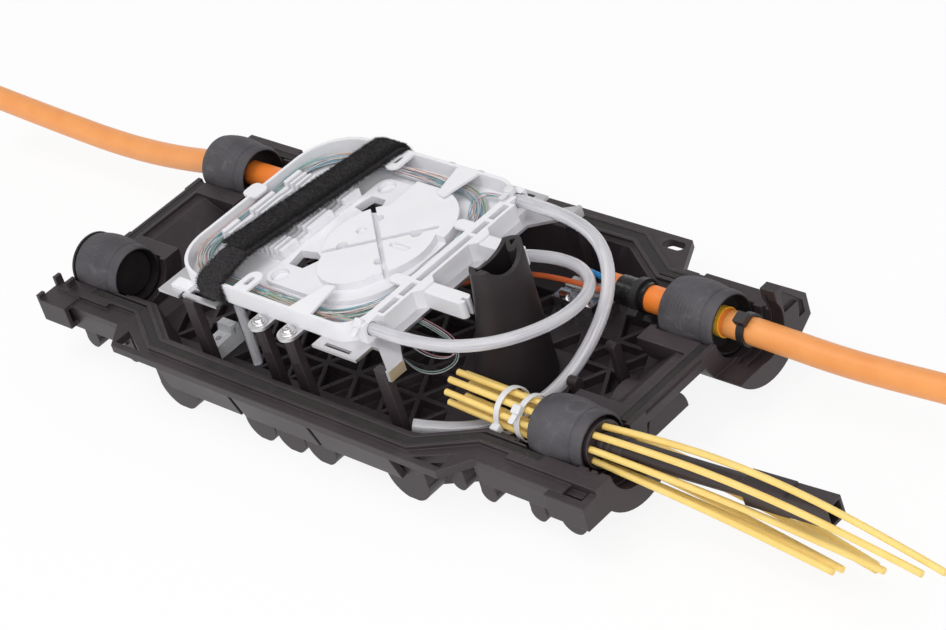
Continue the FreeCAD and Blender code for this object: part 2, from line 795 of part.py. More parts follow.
def drop_stubs():
    # straight lengths through the insert, gathered a little towards their cut ends
    stubs = []
    for y, z in drop_seats:
        tail = vec(drop_inner_x, -port_y + (y + port_y) * drop_gather,
                   port_axis_height + (z - port_axis_height) * drop_gather + drop_lift)
        knee = vec(stub_knee_x, y, z)
        inner = rod(drop_diameter / 2, knee, tail - knee, (tail - knee).Length)
        outer = rod(drop_diameter / 2, knee, x_axis, seal_outer_x + 0.4 - knee.x)
        joint = Part.makeSphere(drop_diameter / 2, knee)
        stubs.append(fused([inner, joint, outer]))
    return Part.makeCompound(stubs)


def tie_head(x, y, z, inner_radius, head_angle):
    # square head on a tie's band, turned about the band's axis from the top
    head = block(x - 0.8 * tie_width, x + 0.8 * tie_width, y - 0.75 * tie_width, y + 0.75 * tie_width,
                 z + inner_radius + tie_thickness / 4, z + inner_radius + tie_width)
    head.rotate(vec(x, y, z), x_axis, head_angle)
    return head


def bundle_tie(x, head_angle):
    # flat band round the drop stubs
    share = stub_share(x + tie_width / 2)
    inner = drop_circle * (1 - (1 - drop_gather) * share) + drop_diameter / 2 + 2 * band_gap
    z = port_axis_height + drop_lift * stub_share(x)
    band = ring_about_x(x, tie_width, inner, inner + tie_thickness, -port_y, z)
    return fused([band, tie_head(x, -port_y, z, inner, head_angle)])


def sheath(x0, x1, y):
    return rod(trunk_radius, vec(x0, y, port_axis_height), x_axis, x1 - x0)


def band_on_trunk(x, width, thickness, y):
    inner = trunk_radius + band_gap
    return ring_about_x(x, width, inner, inner + thickness, y, port_axis_height)


def tie_on_band(x, inner_radius, y, head_angle):
    band = ring_about_x(x, tie_width, inner_radius, inner_radius + tie_thickness, y, port_axis_height)
    return fused([band, tie_head(x, y, port_axis_height, inner_radius, head_angle)])


def oval(half_x, half_y, x, y, z):
    if half_x > half_y:
        curve = Part.Ellipse(vec(x + half_x, y, z), vec(x, y + half_y, z), vec(x, y, z))
    else:
        curve = Part.Ellipse(vec(x, y + half_y, z), vec(x - half_x, y, z), vec(x, y, z))
    return Part.Wire(curve.toShape())


def tower_loft(inset, straight):
    wires = []
    for share, flare in ((0.0, 1.0), (0.35, 0.5), (1.0, 0.0)):
        z = lattice_top + tower_height * share
        x = tower_x + tower_lean_x * flare
        y = tower_y + tower_lean_y * flare
        wires.append(oval(tower_half_x + tower_flare * flare - inset,
                          tower_half_y + tower_flare * flare - inset,
                          x, y, z))
    return Part.makeLoft(wires, True, straight)


def centre_tower():
    # hollow oval post whose lip dips between two screw ears
    top = lattice_top + tower_height
    body = tower_loft(0.0, False)
    ears = []
    pilots = []
    for side in (-1, 1):
        y = tower_y + side * (tower_half_y - 3.6)
        ears.append(rod(3.4, vec(tower_x, y, top - 20), z_axis, 20))
        pilots.append(rod(1.3, vec(tower_x, y, top - 10), z_axis, 12))
    dip = rod(tower_half_y * 0.8, vec(tower_x - 40, tower_y, top + tower_half_y * 0.35), x_axis, 80)
    post = fused([body.cut(tower_loft(tower_wall, True))] + [e.common(body) for e in ears])
    return post.cut(Part.makeCompound(pilots + [dip]))


def tray_bracket():
    # sheet plate with side tabs for the strap, the screws and the tray
    z0 = bracket_height
    z1 = bracket_top
    plate = block(bracket_left, bracket_right - 14, -bracket_half_width, bracket_half_width, z0, z1)
    window = block(bracket_left + 24, bracket_right - 38, -bracket_half_width + 26, bracket_half_width - 26,
                   z0 - 1, z1 + 1)
    plate = plate.cut(window)
    front = []
    shapes = [plate]
    strap_outer = tray_half_width + strap_gap + strap_thickness
    for side in (-1, 1):
        x = strap_x + strap_slant * side * strap_outer
        half = strap_width / 2
        edges = sorted((side * (bracket_half_width - 1), side * (strap_outer + 3)))
        strap_tab = block(x - half - 4, x + half + 4, edges[0], edges[1], z0, z1)
        edges = sorted((side * (tray_half_width - 0.2), side * (strap_outer + 0.5)))
        shapes.append(strap_tab.cut(block(x - half - 0.6, x + half + 0.6, edges[0], edges[1], z0 - 1,
                                          z1 + 1)))
    for x in screw_post_x:
        front.append(rod(screw_head_radius + 1.5, vec(x, post_row_y, z0), z_axis, bracket_sheet))
        front.append(block(x - screw_head_radius - 1.5, x + screw_head_radius + 1.5, bracket_half_width - 1,
                           post_row_y, z0, z1))
    slotted = block(18, 46, bracket_half_width - 1, tab_edge_y, z0, z1)
    front.append(slotted.cut(block(24, 40, tab_edge_y - 4, tab_edge_y - 2, z0 - 1, z1 + 1)))
    wing = prism([(bracket_right - 20, bracket_half_width - 16), (bracket_right, bracket_half_width + 1),
                  (bracket_right, tab_edge_y), (bracket_right - 16, bracket_half_width),
                  (bracket_right - 20, bracket_half_width)], z0, z1)
    lip = block(bracket_right - bracket_sheet, bracket_right + 0.5, bracket_half_width + 1, tab_edge_y,
                z0 - 4, z1)
    end_tab = block(bracket_left - 6, bracket_left + 8, bracket_half_width - 8, tab_edge_y, z0, z1)
    front += [wing, lip, end_tab]
    for tab in front:
        shapes += both_sides(tab)
    holes = [hole for x in screw_post_x
             for hole in both_sides(rod(screw_radius + 0.3, vec(x, post_row_y, z0 - 1), z_axis,
                                        bracket_sheet + 2))]
    return fused(shapes).cut(Part.makeCompound(holes))


def bracket_screws():
    screws = []
    for x in screw_post_x:
        shank = rod(screw_radius - 0.1, vec(x, post_row_y, bracket_top - screw_grip), z_axis,
                    screw_grip + 0.5)
        head = rod(screw_head_radius, vec(x, post_row_y, bracket_top), z_axis, screw_head_height / 2)
        dome = Part.makeCone(screw_head_radius, screw_head_radius * 0.7, screw_head_height / 2,
                             vec(x, post_row_y, bracket_top + screw_head_height / 2), z_axis)
        head = fused([head, dome])
        driver = block(x - 2.4, x + 2.4, post_row_y - 0.5, post_row_y + 0.5, bracket_top + 1.2,
                       bracket_top + 4)
        cross = block(x - 0.5, x + 0.5, post_row_y - 2.4, post_row_y + 2.4, bracket_top + 1.2,
                      bracket_top + 4)
        screws += both_sides(fused([shank, head]).cut(Part.makeCompound([driver, cross])))
    return Part.makeCompound(screws)


def splice_tray():
    z0 = tray_base
    body = rounded_block(tray_left, tray_right, -tray_half_width, tray_half_width, z0, tray_top,
                         tray_left_radius, tray_right_radius)
    room = rounded_block(tray_left + tray_wall, tray_right - tray_wall, -tray_half_width + tray_wall,
                         tray_half_width - tray_wall, tray_floor_top, tray_top + 1,
                         tray_left_radius - tray_wall, tray_right_radius - tray_wall)
    tray = fused([body.cut(room)] + island() + hinge_arms() + channel_tabs() + entry_lugs())
    return tray.cut(Part.makeCompound(island_cuts() + tube_entries()))


def island():
    # low plate inside the channel that carries rounded lobes, the rear one out to the plate's edge
    top = tray_top - lobe_sink
    plate = rounded_block(island_left, island_right, -island_half_width, island_half_width, tray_base,
                          tray_floor_top + island_plate, island_left_radius, island_right_radius)
    whole = rounded_block(island_left, island_right, -island_half_width, island_half_width, tray_base, top,
                          island_left_radius, island_right_radius)
    height = top - tray_base
    lobes = fused([rod(lobe_radius, vec(lobe_centre_x, 0, tray_base), z_axis, height),
                   rod(front_lobe_radius, vec(lobe_centre_x, front_lobe_y, tray_base), z_axis, height),
                   block(rear_lobe_left, island_right, lobe_radius / 2, island_half_width, tray_base, top)])
    return [plate, lobes.common(whole)]


def entry_lugs():
    # blocks at the ends of the hinge bar that grip the transport tubes
    lugs = []
    for route, diameter in ((tube_a_route, tube_a_diameter), (tube_b_route, tube_b_diameter)):
        side = 1 if route[0][1] > 0 else -1
        edges = sorted((side * (hinge_bar_half_length - 1), route[0][1] + side * (diameter / 2 + tray_wall)))
        lugs.append(block(tray_right - 2, tray_right + hinge_bar_width / 2, edges[0], edges[1], tray_base,
                          tray_top))
    return lugs


def tube_entries():
    entries = []
    for route, diameter in ((tube_a_route, tube_a_diameter), (tube_b_route, tube_b_diameter)):
        start = vec(*route[0])
        run = vec(*route[1]) - start
        entries.append(rod(diameter / 2 + tube_fit, start - run * 0.1, run, run.Length))
    return entries


def island_cuts():
    # crossing slots with round pockets beside them, two windows, an oblong and a round recess
    plate_top = tray_floor_top + island_plate
    half = cross_slot_length / 2
    cuts = []
    for angle in cross_angles:
        slot = rounded_block(-half, half, -cross_slot_width / 2, cross_slot_width / 2, plate_top,
                             tray_top + 1,
                             cross_slot_width * 0.45, cross_slot_width * 0.45)
        pockets = [rod(2.6, vec(u, side * 1.6, plate_top), z_axis, tray_height)
                   for u, side in ((-half * 0.62, 1), (half * 0.62, -1))]
        star = fused([slot] + pockets)
        star.rotate(vec(0, 0, 0), z_axis, angle)
        cuts.append(star.translated(vec(lobe_centre_x, 0, 0)))
    window = prism([(island_left + 3, 18), (island_left + 5, 28), (island_left + 14, 28),
                    (island_left + 18, 19),
                    (island_left + 12, 16)], tray_base - 1, tray_top + 1)
    cuts += both_sides(window)
    top = tray_top - lobe_sink
    x = lobe_centre_x + lobe_radius / 2
    cuts.append(rounded_block(x - 6, x + 6, -1.6, 1.6, top - 1.5, top + 1, 1.5, 1.5))
    cuts.append(rod(2.4, vec(lobe_centre_x - lobe_radius / 2, 2.0, top - 1.5), z_axis, 3))
    for side in (-1, 1):
        cuts.append(rod(4.5, vec(island_left + 7, side * (island_half_width - 6), tray_floor_top), z_axis,
                        tray_height))
    return cuts


def hinge_arms():
    bar = block(tray_right - 1, tray_right + hinge_bar_width, -hinge_bar_half_length, hinge_bar_half_length,
                tray_base, tray_top)
    hollow = block(tray_right + tray_wall, tray_right + hinge_bar_width - tray_wall,
                   -hinge_bar_half_length + tray_wall, hinge_bar_half_length - tray_wall,
                   tray_floor_top, tray_top + 1)
    ribs = [block(tray_right, tray_right + hinge_bar_width - 1, y - 1, y + 1, tray_base, tray_top)
            for y in (-30, -prong_offset, prong_offset, 30)]
    arms = []
    x0 = tray_right + hinge_bar_width
    x1 = x0 + prong_length
    for side in (-1, 1):
        # a tapered root, a hollow beam and a two-toed tip
        y = side * prong_offset
        half = prong_width / 2
        root = prism([(x0 - 1, y - 2 * half), (x0 + half, y - half), (x0 + half, y + half),
                      (x0 - 1, y + 2 * half)],
                     tray_base, tray_top)
        beam = rounded_block(x0 - 1, x1, y - half, y + half, tray_base, tray_top - 1, 0.5, 2.5)
        channel = block(x0 + 2, x1 - 4, y - half + 1.6, y + half - 1.6, tray_base - 1, tray_top - 3)
        tip_gap = block(x1 - 3, x1 + 1, y - 0.8, y + 0.8, tray_base - 1, tray_top)
        arms.append(fused([root, beam]).cut(fused([channel, tip_gap])))
    return [bar.cut(hollow)] + ribs + arms


def channel_tabs():
    # thin tabs at wall height that keep the fibres down in the channel
    z0 = tray_top - tab_thickness
    edge = tray_half_width - tray_wall / 2
    inner = island_half_width + 3
    key_x = island_left + 3
    key = rounded_block(inner - 2, edge, -4.5, 4.5, z0, tray_top, 4.3, 0.5)
    key = key.cut(rounded_block(inner + 2, inner + 8, -1.4, 1.4, z0 - 1, tray_top + 1, 1.3, 1.3))
    key.rotate(vec(0, 0, 0), z_axis, 90)
    wedge = prism([(-1, edge), (13, edge), (9, island_half_width - 6), (4, island_half_width - 5)], z0,
                  tray_top)
    tabs = both_sides(key.translated(vec(key_x, 0, 0))) + both_sides(wedge)
    for y in (-20, 23):
        tabs.append(rounded_block(island_right - 1, tray_right + 1, y - 3.2, y + 3.2, z0, tray_top, 3.0, 0.5))
    tabs.append(rounded_block(tray_left - 5, tray_left + 5, -1, 9, z0, tray_top, 3.0, 3.0))
    wing = block(tray_left + 6, tray_left + 18, tray_half_width - 3, tray_half_width + 3, tray_base,
                 tray_base + 2)
    return tabs + both_sides(wing)


def splice_holder():
    # comb of slots along Y on the tray floor, with cross gaps between its rows
    top = tray_top - 1.2
    comb = block(holder_left, holder_right, -holder_half_length, holder_half_length, tray_floor_top, top)
    count = int((holder_right - holder_left - 2) / holder_pitch)
    start = (holder_left + holder_right) / 2 - (count - 1) * holder_pitch / 2
    cuts = [block(start + k * holder_pitch - holder_slot / 2, start + k * holder_pitch + holder_slot / 2,
                  -holder_half_length - 1, holder_half_length + 1, tray_floor_top + 1.5, top + 1)
            for k in range(count)]
    for side in (-1, 1):
        y = side * holder_half_length * 0.45
        cuts.append(block(holder_left - 1, holder_right + 1, y - 4, y + 4, top - 3, top + 1))
    return comb.cut(Part.makeCompound(cuts))


def strap_plan(half_y, spare):
    # the strap's outline in plan, which leans towards +X as it runs to the rear
    half = strap_width / 2 + spare
    lean = strap_slant * half_y
    return [(strap_x - lean - half, -half_y), (strap_x - lean + half, -half_y),
            (strap_x + lean + half, half_y),
            (strap_x + lean - half, half_y)]


def strap():
    # one loop round the tray and bracket, doubled over on top
    y_in = tray_half_width + strap_gap
    y_out = y_in + strap_thickness
    z_in = (bracket_height - strap_gap, tray_top + strap_gap)
    z_out = (z_in[0] - strap_thickness, z_in[1] + strap_thickness)
    outer = prism(strap_plan(y_out, 0), z_out[0], z_out[1])
    outer = outer.makeFillet(3.0, [e for e in outer.Edges
                                   if e.BoundBox.XLength > 0.9 * strap_width and e.BoundBox.YLength < 0.1])
    inner = prism(strap_plan(y_in, 1), z_in[0], z_in[1])
    start = -0.62 * tray_half_width
    plan = strap_plan(tray_half_width, 0)
    plan = [(strap_x + strap_slant * start + d * strap_width / 2, start) for d in (-1, 1)] + plan[2:]
    overlap = prism(plan, z_out[1] - 0.2, z_out[1] + strap_thickness)
    return fused([outer.cut(inner), overlap])


def fibre_coil():
    # one bundle round the channel between the island and the tray's wall
    r = fibre_bundle_diameter / 2
    gap = 0.4
    x1 = tray_right - tray_wall - r - gap
    x0 = tray_left + tray_wall + r + gap
    y1 = (island_half_width + tray_half_width - tray_wall) / 2
    z = tray_floor_top + r + gap / 2
    left_bend = tray_left_radius - tray_wall - r
    right_bend = min(island_right_radius, y1 - 2)
    loop = rounded_block(x0, x1, -y1, y1, z, z + 1, left_bend, right_bend)
    wire = [f for f in loop.Faces if abs(f.BoundBox.ZMin - z) < 0.01
            and f.BoundBox.ZLength < 0.01][0].OuterWire
    first = wire.OrderedEdges[0]
    start = first.valueAt(first.FirstParameter)
    tangent = first.tangentAt(first.FirstParameter)
    section = Part.Wire(Part.makeCircle(r, start, tangent))
    return wire.makePipeShell([section], True, False)


def strength_clamp():
    z0 = lattice_top
    z1 = z0 + clamp_height
    body = block(clamp_x - clamp_length / 2, clamp_x + clamp_length / 2, clamp_y - clamp_width / 2,
                 clamp_y + clamp_width / 2, z0, z1)
    groove = rod(1.2, vec(clamp_x - clamp_length, clamp_y, z1), x_axis, 2 * clamp_length)
    holes = [rod(1.6, vec(clamp_x + dx, clamp_y - 5, z1 - 8), z_axis, 9) for dx in (-6, 6)]
    return body.cut(Part.makeCompound([groove] + holes))


def clamp_screws():
    z1 = lattice_top + clamp_height
    screws = []
    for dx in (-6, 6):
        shank = rod(1.5, vec(clamp_x + dx, clamp_y - 5, z1 - 7), z_axis, 7.5)
        head = rod(2.9, vec(clamp_x + dx, clamp_y - 5, z1), z_axis, 2)
        slot = block(clamp_x + dx - 3, clamp_x + dx + 3, clamp_y - 5.4, clamp_y - 4.6, z1 + 1.2, z1 + 3)
        screws.append(fused([shank, head]).cut(slot))
    return Part.makeCompound(screws)


def strength_member():
    z1 = lattice_top + clamp_height
    return rod(1.0, vec(clamp_x - clamp_length / 2 + 2, clamp_y, z1), x_axis, trunk_end_x - clamp_x
               + clamp_length / 2 - 2.3)


def tie_mount():
    # block with a tall rear step; a tie passes through the slot in the step, a screw through the low front
    x0 = mount_x - mount_length / 2
    rear = mount_y + mount_width / 2
    front = mount_y - mount_width / 2
    step_y = rear - mount_step
    z0 = lattice_top
    top = z0 + mount_height
    body = section_along_x([(front, z0), (rear, z0), (rear, top - 1), (rear - 1, top), (step_y, top),
                            (step_y - 1, z0 + mount_low + 0.5), (front, z0 + mount_low)],
                           x0, x0 + mount_length)
    slot = block(x0 - 1, x0 + mount_length + 1, step_y + 1.2, step_y + 1.2 + mount_slot,
                 z0 + mount_low - 1.5, z0 + mount_low - 1.5 + tie_width + 0.6)
    screw_bore = rod(mount_bore, vec(mount_x, (front + step_y) / 2, z0 - 1), z_axis, mount_height + 2)
    return body.cut(Part.makeCompound([slot, screw_bore]))


parts = {"base_shell": base_shell(), "blank_plug": blank_plug(), "drop_insert": drop_insert(),
         "relief_arm": relief_arm(), "centre_tower": centre_tower(), "tray_bracket": tray_bracket(),
         "bracket_screws": bracket_screws(), "splice_tray": splice_tray(), "splice_holder": splice_holder(),
         "tray_strap": strap(), "fibre_coil": fibre_coil(), "strength_clamp": strength_clamp(),
         "clamp_screws": clamp_screws(), "strength_member": strength_member(), "tie_mount": tie_mount(),
         "drop_stubs": drop_stubs(), "drop_tie_outer": bundle_tie(outer_tie_x, 10),
         "drop_tie_inner": bundle_tie(inner_tie_x, 75)}
parts.update(gaskets())
parts.update(seals())
parts["right_sheath"] = sheath(trunk_end_x, seal_outer_x - 0.1, port_y)
parts["left_sheath"] = sheath(-seal_outer_x + 0.1, left_trunk_end_x, port_y)
parts["tape_band"] = band_on_trunk(trunk_end_x + tape_inset + tape_length / 2, tape_length, tape_thickness,
                                   port_y)
parts["marker_band"] = band_on_trunk(seal_outer_x - 4, 3.6, 0.6, port_y)
parts["sheath_tie"] = tie_on_band(trunk_end_x + sheath_tie_inset,
                                  trunk_radius + 2 * band_gap + tape_thickness,
                                  port_y, 120)
parts["cable_tie"] = tie_on_band(seal_outer_x + cable_tie_offset, trunk_radius + band_gap, port_y, 20)
parts["trunk_cable_left"] = cord_tube("trunk_cable_left", trunk_left_route, trunk_diameter)
parts["trunk_cable_right"] = cord_tube("trunk_cable_right", trunk_right_route, trunk_diameter)
parts["transport_tube_rear"] = cord_tube("transport_tube_rear", tube_a_route, tube_a_diameter)
parts["transport_tube_front"] = cord_tube("transport_tube_front", tube_b_route, tube_b_diameter)
parts["loose_tube_orange"] = cord_tube("loose_tube_orange", orange_tube_route, loose_tube_diameter)
parts["loose_tube_blue"] = cord_tube("loose_tube_blue", blue_tube_route, loose_tube_diameter)
parts["spare_tube"] = cord_tube("spare_tube", spare_tube_route, spare_tube_diameter)
for number in range(drop_count):
    drop_name = "drop_cord_%d" % (number + 1)
    parts[drop_name] = cord_tube(drop_name, drop_route(number), drop_diameter)

os.makedirs("parts", exist_ok=True)
for node, shape in parts.items():
    shape.exportStep("parts/%s.step" % node)
    print(node, "solids", len(shape.Solids), "volume", round(shape.Volume), "valid", shape.isValid())
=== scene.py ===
import json
import bpy
import numpy as np
from mathutils import Matrix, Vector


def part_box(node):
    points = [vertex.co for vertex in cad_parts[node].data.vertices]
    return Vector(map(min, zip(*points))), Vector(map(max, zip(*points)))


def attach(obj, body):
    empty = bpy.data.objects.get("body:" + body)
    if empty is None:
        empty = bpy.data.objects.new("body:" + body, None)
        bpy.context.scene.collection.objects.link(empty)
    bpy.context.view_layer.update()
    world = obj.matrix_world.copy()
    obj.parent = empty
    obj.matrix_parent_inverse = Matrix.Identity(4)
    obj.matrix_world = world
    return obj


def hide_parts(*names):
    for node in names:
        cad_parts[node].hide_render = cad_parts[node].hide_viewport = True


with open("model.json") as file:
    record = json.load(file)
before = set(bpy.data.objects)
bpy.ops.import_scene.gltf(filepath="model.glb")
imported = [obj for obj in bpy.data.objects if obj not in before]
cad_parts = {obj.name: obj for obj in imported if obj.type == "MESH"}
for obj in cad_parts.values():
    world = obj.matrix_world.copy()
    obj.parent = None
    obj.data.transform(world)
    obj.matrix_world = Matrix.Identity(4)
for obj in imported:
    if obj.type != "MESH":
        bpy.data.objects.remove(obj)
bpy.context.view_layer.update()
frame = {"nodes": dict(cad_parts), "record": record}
nodes = frame["nodes"]
scene = bpy.context.scene
scene.view_settings.view_transform = "Standard"
mm = 0.001
seed = np.random.default_rng(20)
print("frame loaded", len(nodes))


# camera: straight line of sight from a place in front, to the right and above, turned about that line
view = {"place": (0.95185, -0.67957, 0.80176), "turn": 52.99, "height": 34.18, "roll": 18.0, "lens": 117.0,
        "sensor": 36.0, "reach": 20.0}


def setDown(item, axes, place):
    # axes are the item's own X, Y and Z in the scene
    item.matrix_world = Matrix([[*row, p] for row, p in zip(np.array(axes).T, place)] + [[0, 0, 0, 1]])
    scene.collection.objects.link(item)


def aimCamera(spec):
    a, e, r = np.radians([spec["turn"], spec["height"], spec["roll"]])
    forward = np.array([-np.sin(a) * np.cos(e), np.cos(a) * np.cos(e), -np.sin(e)])
    level = np.array([np.cos(a), np.sin(a), 0.0])
    down = np.cross(forward, level)
    right = np.cos(r) * level + np.sin(r) * down
    up = np.sin(r) * level - np.cos(r) * down
    data = bpy.data.cameras.new("photoCamera")
    data.lens = spec["lens"]
    data.sensor_width = spec["sensor"]
    data.sensor_fit = "HORIZONTAL"
    data.clip_end = spec["reach"]
    camera = bpy.data.objects.new("photoCamera", data)
    setDown(camera, [right, up, -forward], spec["place"])
    scene.camera = camera


aimCamera(view)
print("camera set")


# shared node groups: a moulded grain with slow blotches, fine scuffs in all directions, and paler edges, partly worn
# and partly a painted highlight
def newGroup(name, inputs, outputs):
    group = bpy.data.node_groups.new(name, "ShaderNodeTree")
    for socket, kind, value in inputs:
        made = group.interface.new_socket(socket, in_out="INPUT", socket_type=kind)
        if value is not None:
            made.default_value = value
    for socket, kind in outputs:
        group.interface.new_socket(socket, in_out="OUTPUT", socket_type=kind)
    return group, group.nodes.new("NodeGroupInput").outputs, group.nodes.new("NodeGroupOutput").inputs


def addNode(tree, kind, links=None, **settings):
    node = tree.nodes.new(kind)
    for key, value in settings.items():
        if key in node.inputs:
            node.inputs[key].default_value = value
        else:
            setattr(node, key, value)
    for key, source in (links or {}).items():
        tree.links.new(source, node.inputs[key])
    return node


mixShare, mixFirst, mixSecond, mixResult = 0, 6, 7, 2
grainDepth = 0.0003


def blendColour(tree, share, first, second, kind="MIX"):
    # each of the three is an output that is linked or a plain value that is set
    mix = addNode(tree, "ShaderNodeMix", data_type="RGBA", blend_type=kind)
    for socket, source in ((mixShare, share), (mixFirst, first), (mixSecond, second)):
        if isinstance(source, bpy.types.NodeSocket):
            tree.links.new(source, mix.inputs[socket])
        else:
            mix.inputs[socket].default_value = source
    return mix.outputs[mixResult]


grain, given, result = newGroup(
    "mouldedGrain",
    [("Vector", "NodeSocketVector", None), ("Blotch Scale", "NodeSocketFloat", 30.0),
     ("Grain Scale", "NodeSocketFloat", 900.0)],
    [("Blotch", "NodeSocketFloat"), ("Height", "NodeSocketFloat")])
slow = addNode(grain, "ShaderNodeTexNoise", {"Vector": given["Vector"], "Scale": given["Blotch Scale"]},
               Detail=4.0, Roughness=0.6)
fine = addNode(grain, "ShaderNodeTexNoise", {"Vector": given["Vector"], "Scale": given["Grain Scale"]}, Detail=3.0)
spread = addNode(grain, "ShaderNodeMapRange", {"Value": slow.outputs["Fac"]},
                 **{"From Min": 0.3, "From Max": 0.7})
grain.links.new(spread.outputs["Result"], result["Blotch"])
grain.links.new(fine.outputs["Fac"], result["Height"])

scuff, given, result = newGroup(
    "fineScuffs",
    [("Vector", "NodeSocketVector", None), ("Scale", "NodeSocketFloat", 60.0), ("Reach", "NodeSocketFloat", 0.62)],
    [("Mask", "NodeSocketFloat")])
bent = addNode(scuff, "ShaderNodeTexNoise", {"Vector": given["Vector"], "Scale": given["Scale"]}, Detail=5.0,
               Roughness=0.75, Distortion=1.6)
cutoff = addNode(scuff, "ShaderNodeMapRange", {"Value": bent.outputs["Fac"], "From Min": given["Reach"]},
                 **{"From Max": 0.85})
scuff.links.new(cutoff.outputs["Result"], result["Mask"])

edgeWearHighlightGroup, given, result = newGroup(
    "edgeWearAndPaintedHighlight",
    [("Normal", "NodeSocketVector", None), ("Blotch", "NodeSocketFloat", 0.5)],
    [("Mask", "NodeSocketFloat")])
# the rounded normal turns away from the face's own normal near an edge, more where the blotches are strong; the paler
# colour it brings there is partly wear and partly a painted highlight
ownNormal = edgeWearHighlightGroup.nodes.new("ShaderNodeNewGeometry").outputs["True Normal"]
turned = addNode(edgeWearHighlightGroup, "ShaderNodeVectorMath", {0: given["Normal"], 1: ownNormal}, operation="DOT_PRODUCT")
near = addNode(edgeWearHighlightGroup, "ShaderNodeMapRange", {"Value": turned.outputs["Value"]},
               **{"From Min": 0.965, "From Max": 0.78, "To Max": 0.85})
patchy = addNode(edgeWearHighlightGroup, "ShaderNodeMapRange", {"Value": given["Blotch"]}, **{"To Min": 0.35})
wearAndHighlight = addNode(edgeWearHighlightGroup, "ShaderNodeMath", {0: near.outputs["Result"], 1: patchy.outputs["Result"]},
              operation="MULTIPLY")
edgeWearHighlightGroup.links.new(wearAndHighlight.outputs[0], result["Mask"])


def mottled(name, dark, light, rough, blotch=30.0, grainScale=900.0, bump=0.15, worn=None, squeeze=(1, 1, 1), edge=0,
            along="Object", **plain):
    # colour and roughness follow the slow blotches, the grain makes the bump; worn adds paler scuffs,
    # edge is the radius in metres to which sharp moulded edges look rounded, along is UV for streaks down a tube
    material = bpy.data.materials.new(name)
    material.use_nodes = True
    tree = material.node_tree
    shader = tree.nodes["Principled BSDF"]
    place = tree.nodes.new("ShaderNodeTexCoord").outputs[along]
    if squeeze != (1, 1, 1):
        place = addNode(tree, "ShaderNodeMapping", {"Vector": place}, Scale=squeeze).outputs["Vector"]
    surface = addNode(tree, "ShaderNodeGroup", node_tree=grain, **{"Blotch Scale": blotch, "Grain Scale": grainScale})
    tree.links.new(place, surface.inputs["Vector"])
    tone = addNode(tree, "ShaderNodeValToRGB", {"Fac": surface.outputs["Blotch"]})
    tone.color_ramp.elements[0].color = (*dark, 1)
    tone.color_ramp.elements[1].color = (*light, 1)
    colour = tone.outputs["Color"]
    if worn:
        marks = addNode(tree, "ShaderNodeGroup", node_tree=scuff, Scale=worn["scale"], Reach=worn["reach"])
        tree.links.new(place, marks.inputs["Vector"])
        colour = blendColour(tree, marks.outputs["Mask"], colour, (*worn["colour"], 1))
    if edge:
        rounded = addNode(tree, "ShaderNodeBevel", samples=6, Radius=edge)
        # paler colour along the edges: partly wear, partly a painted highlight
        if worn:
            wearAndHighlightRims = addNode(tree, "ShaderNodeGroup", node_tree=edgeWearHighlightGroup)
            tree.links.new(rounded.outputs["Normal"], wearAndHighlightRims.inputs["Normal"])
            tree.links.new(surface.outputs["Blotch"], wearAndHighlightRims.inputs["Blotch"])
            colour = blendColour(tree, wearAndHighlightRims.outputs["Mask"], colour, (*worn["rim"], 1))
    tree.links.new(colour, shader.inputs["Base Color"])
    polish = addNode(tree, "ShaderNodeMapRange", {"Value": surface.outputs["Blotch"]},
                     **{"To Min": rough[0], "To Max": rough[1]})
    tree.links.new(polish.outputs["Result"], shader.inputs["Roughness"])
    relief = addNode(tree, "ShaderNodeBump", {"Height": surface.outputs["Height"]}, Strength=bump, Distance=grainDepth)
    if edge:
        tree.links.new(rounded.outputs["Normal"], relief.inputs["Normal"])
    tree.links.new(relief.outputs["Normal"], shader.inputs["Normal"])
    for key, value in plain.items():
        shader.inputs[key.replace("_", " ")].default_value = value
    return material


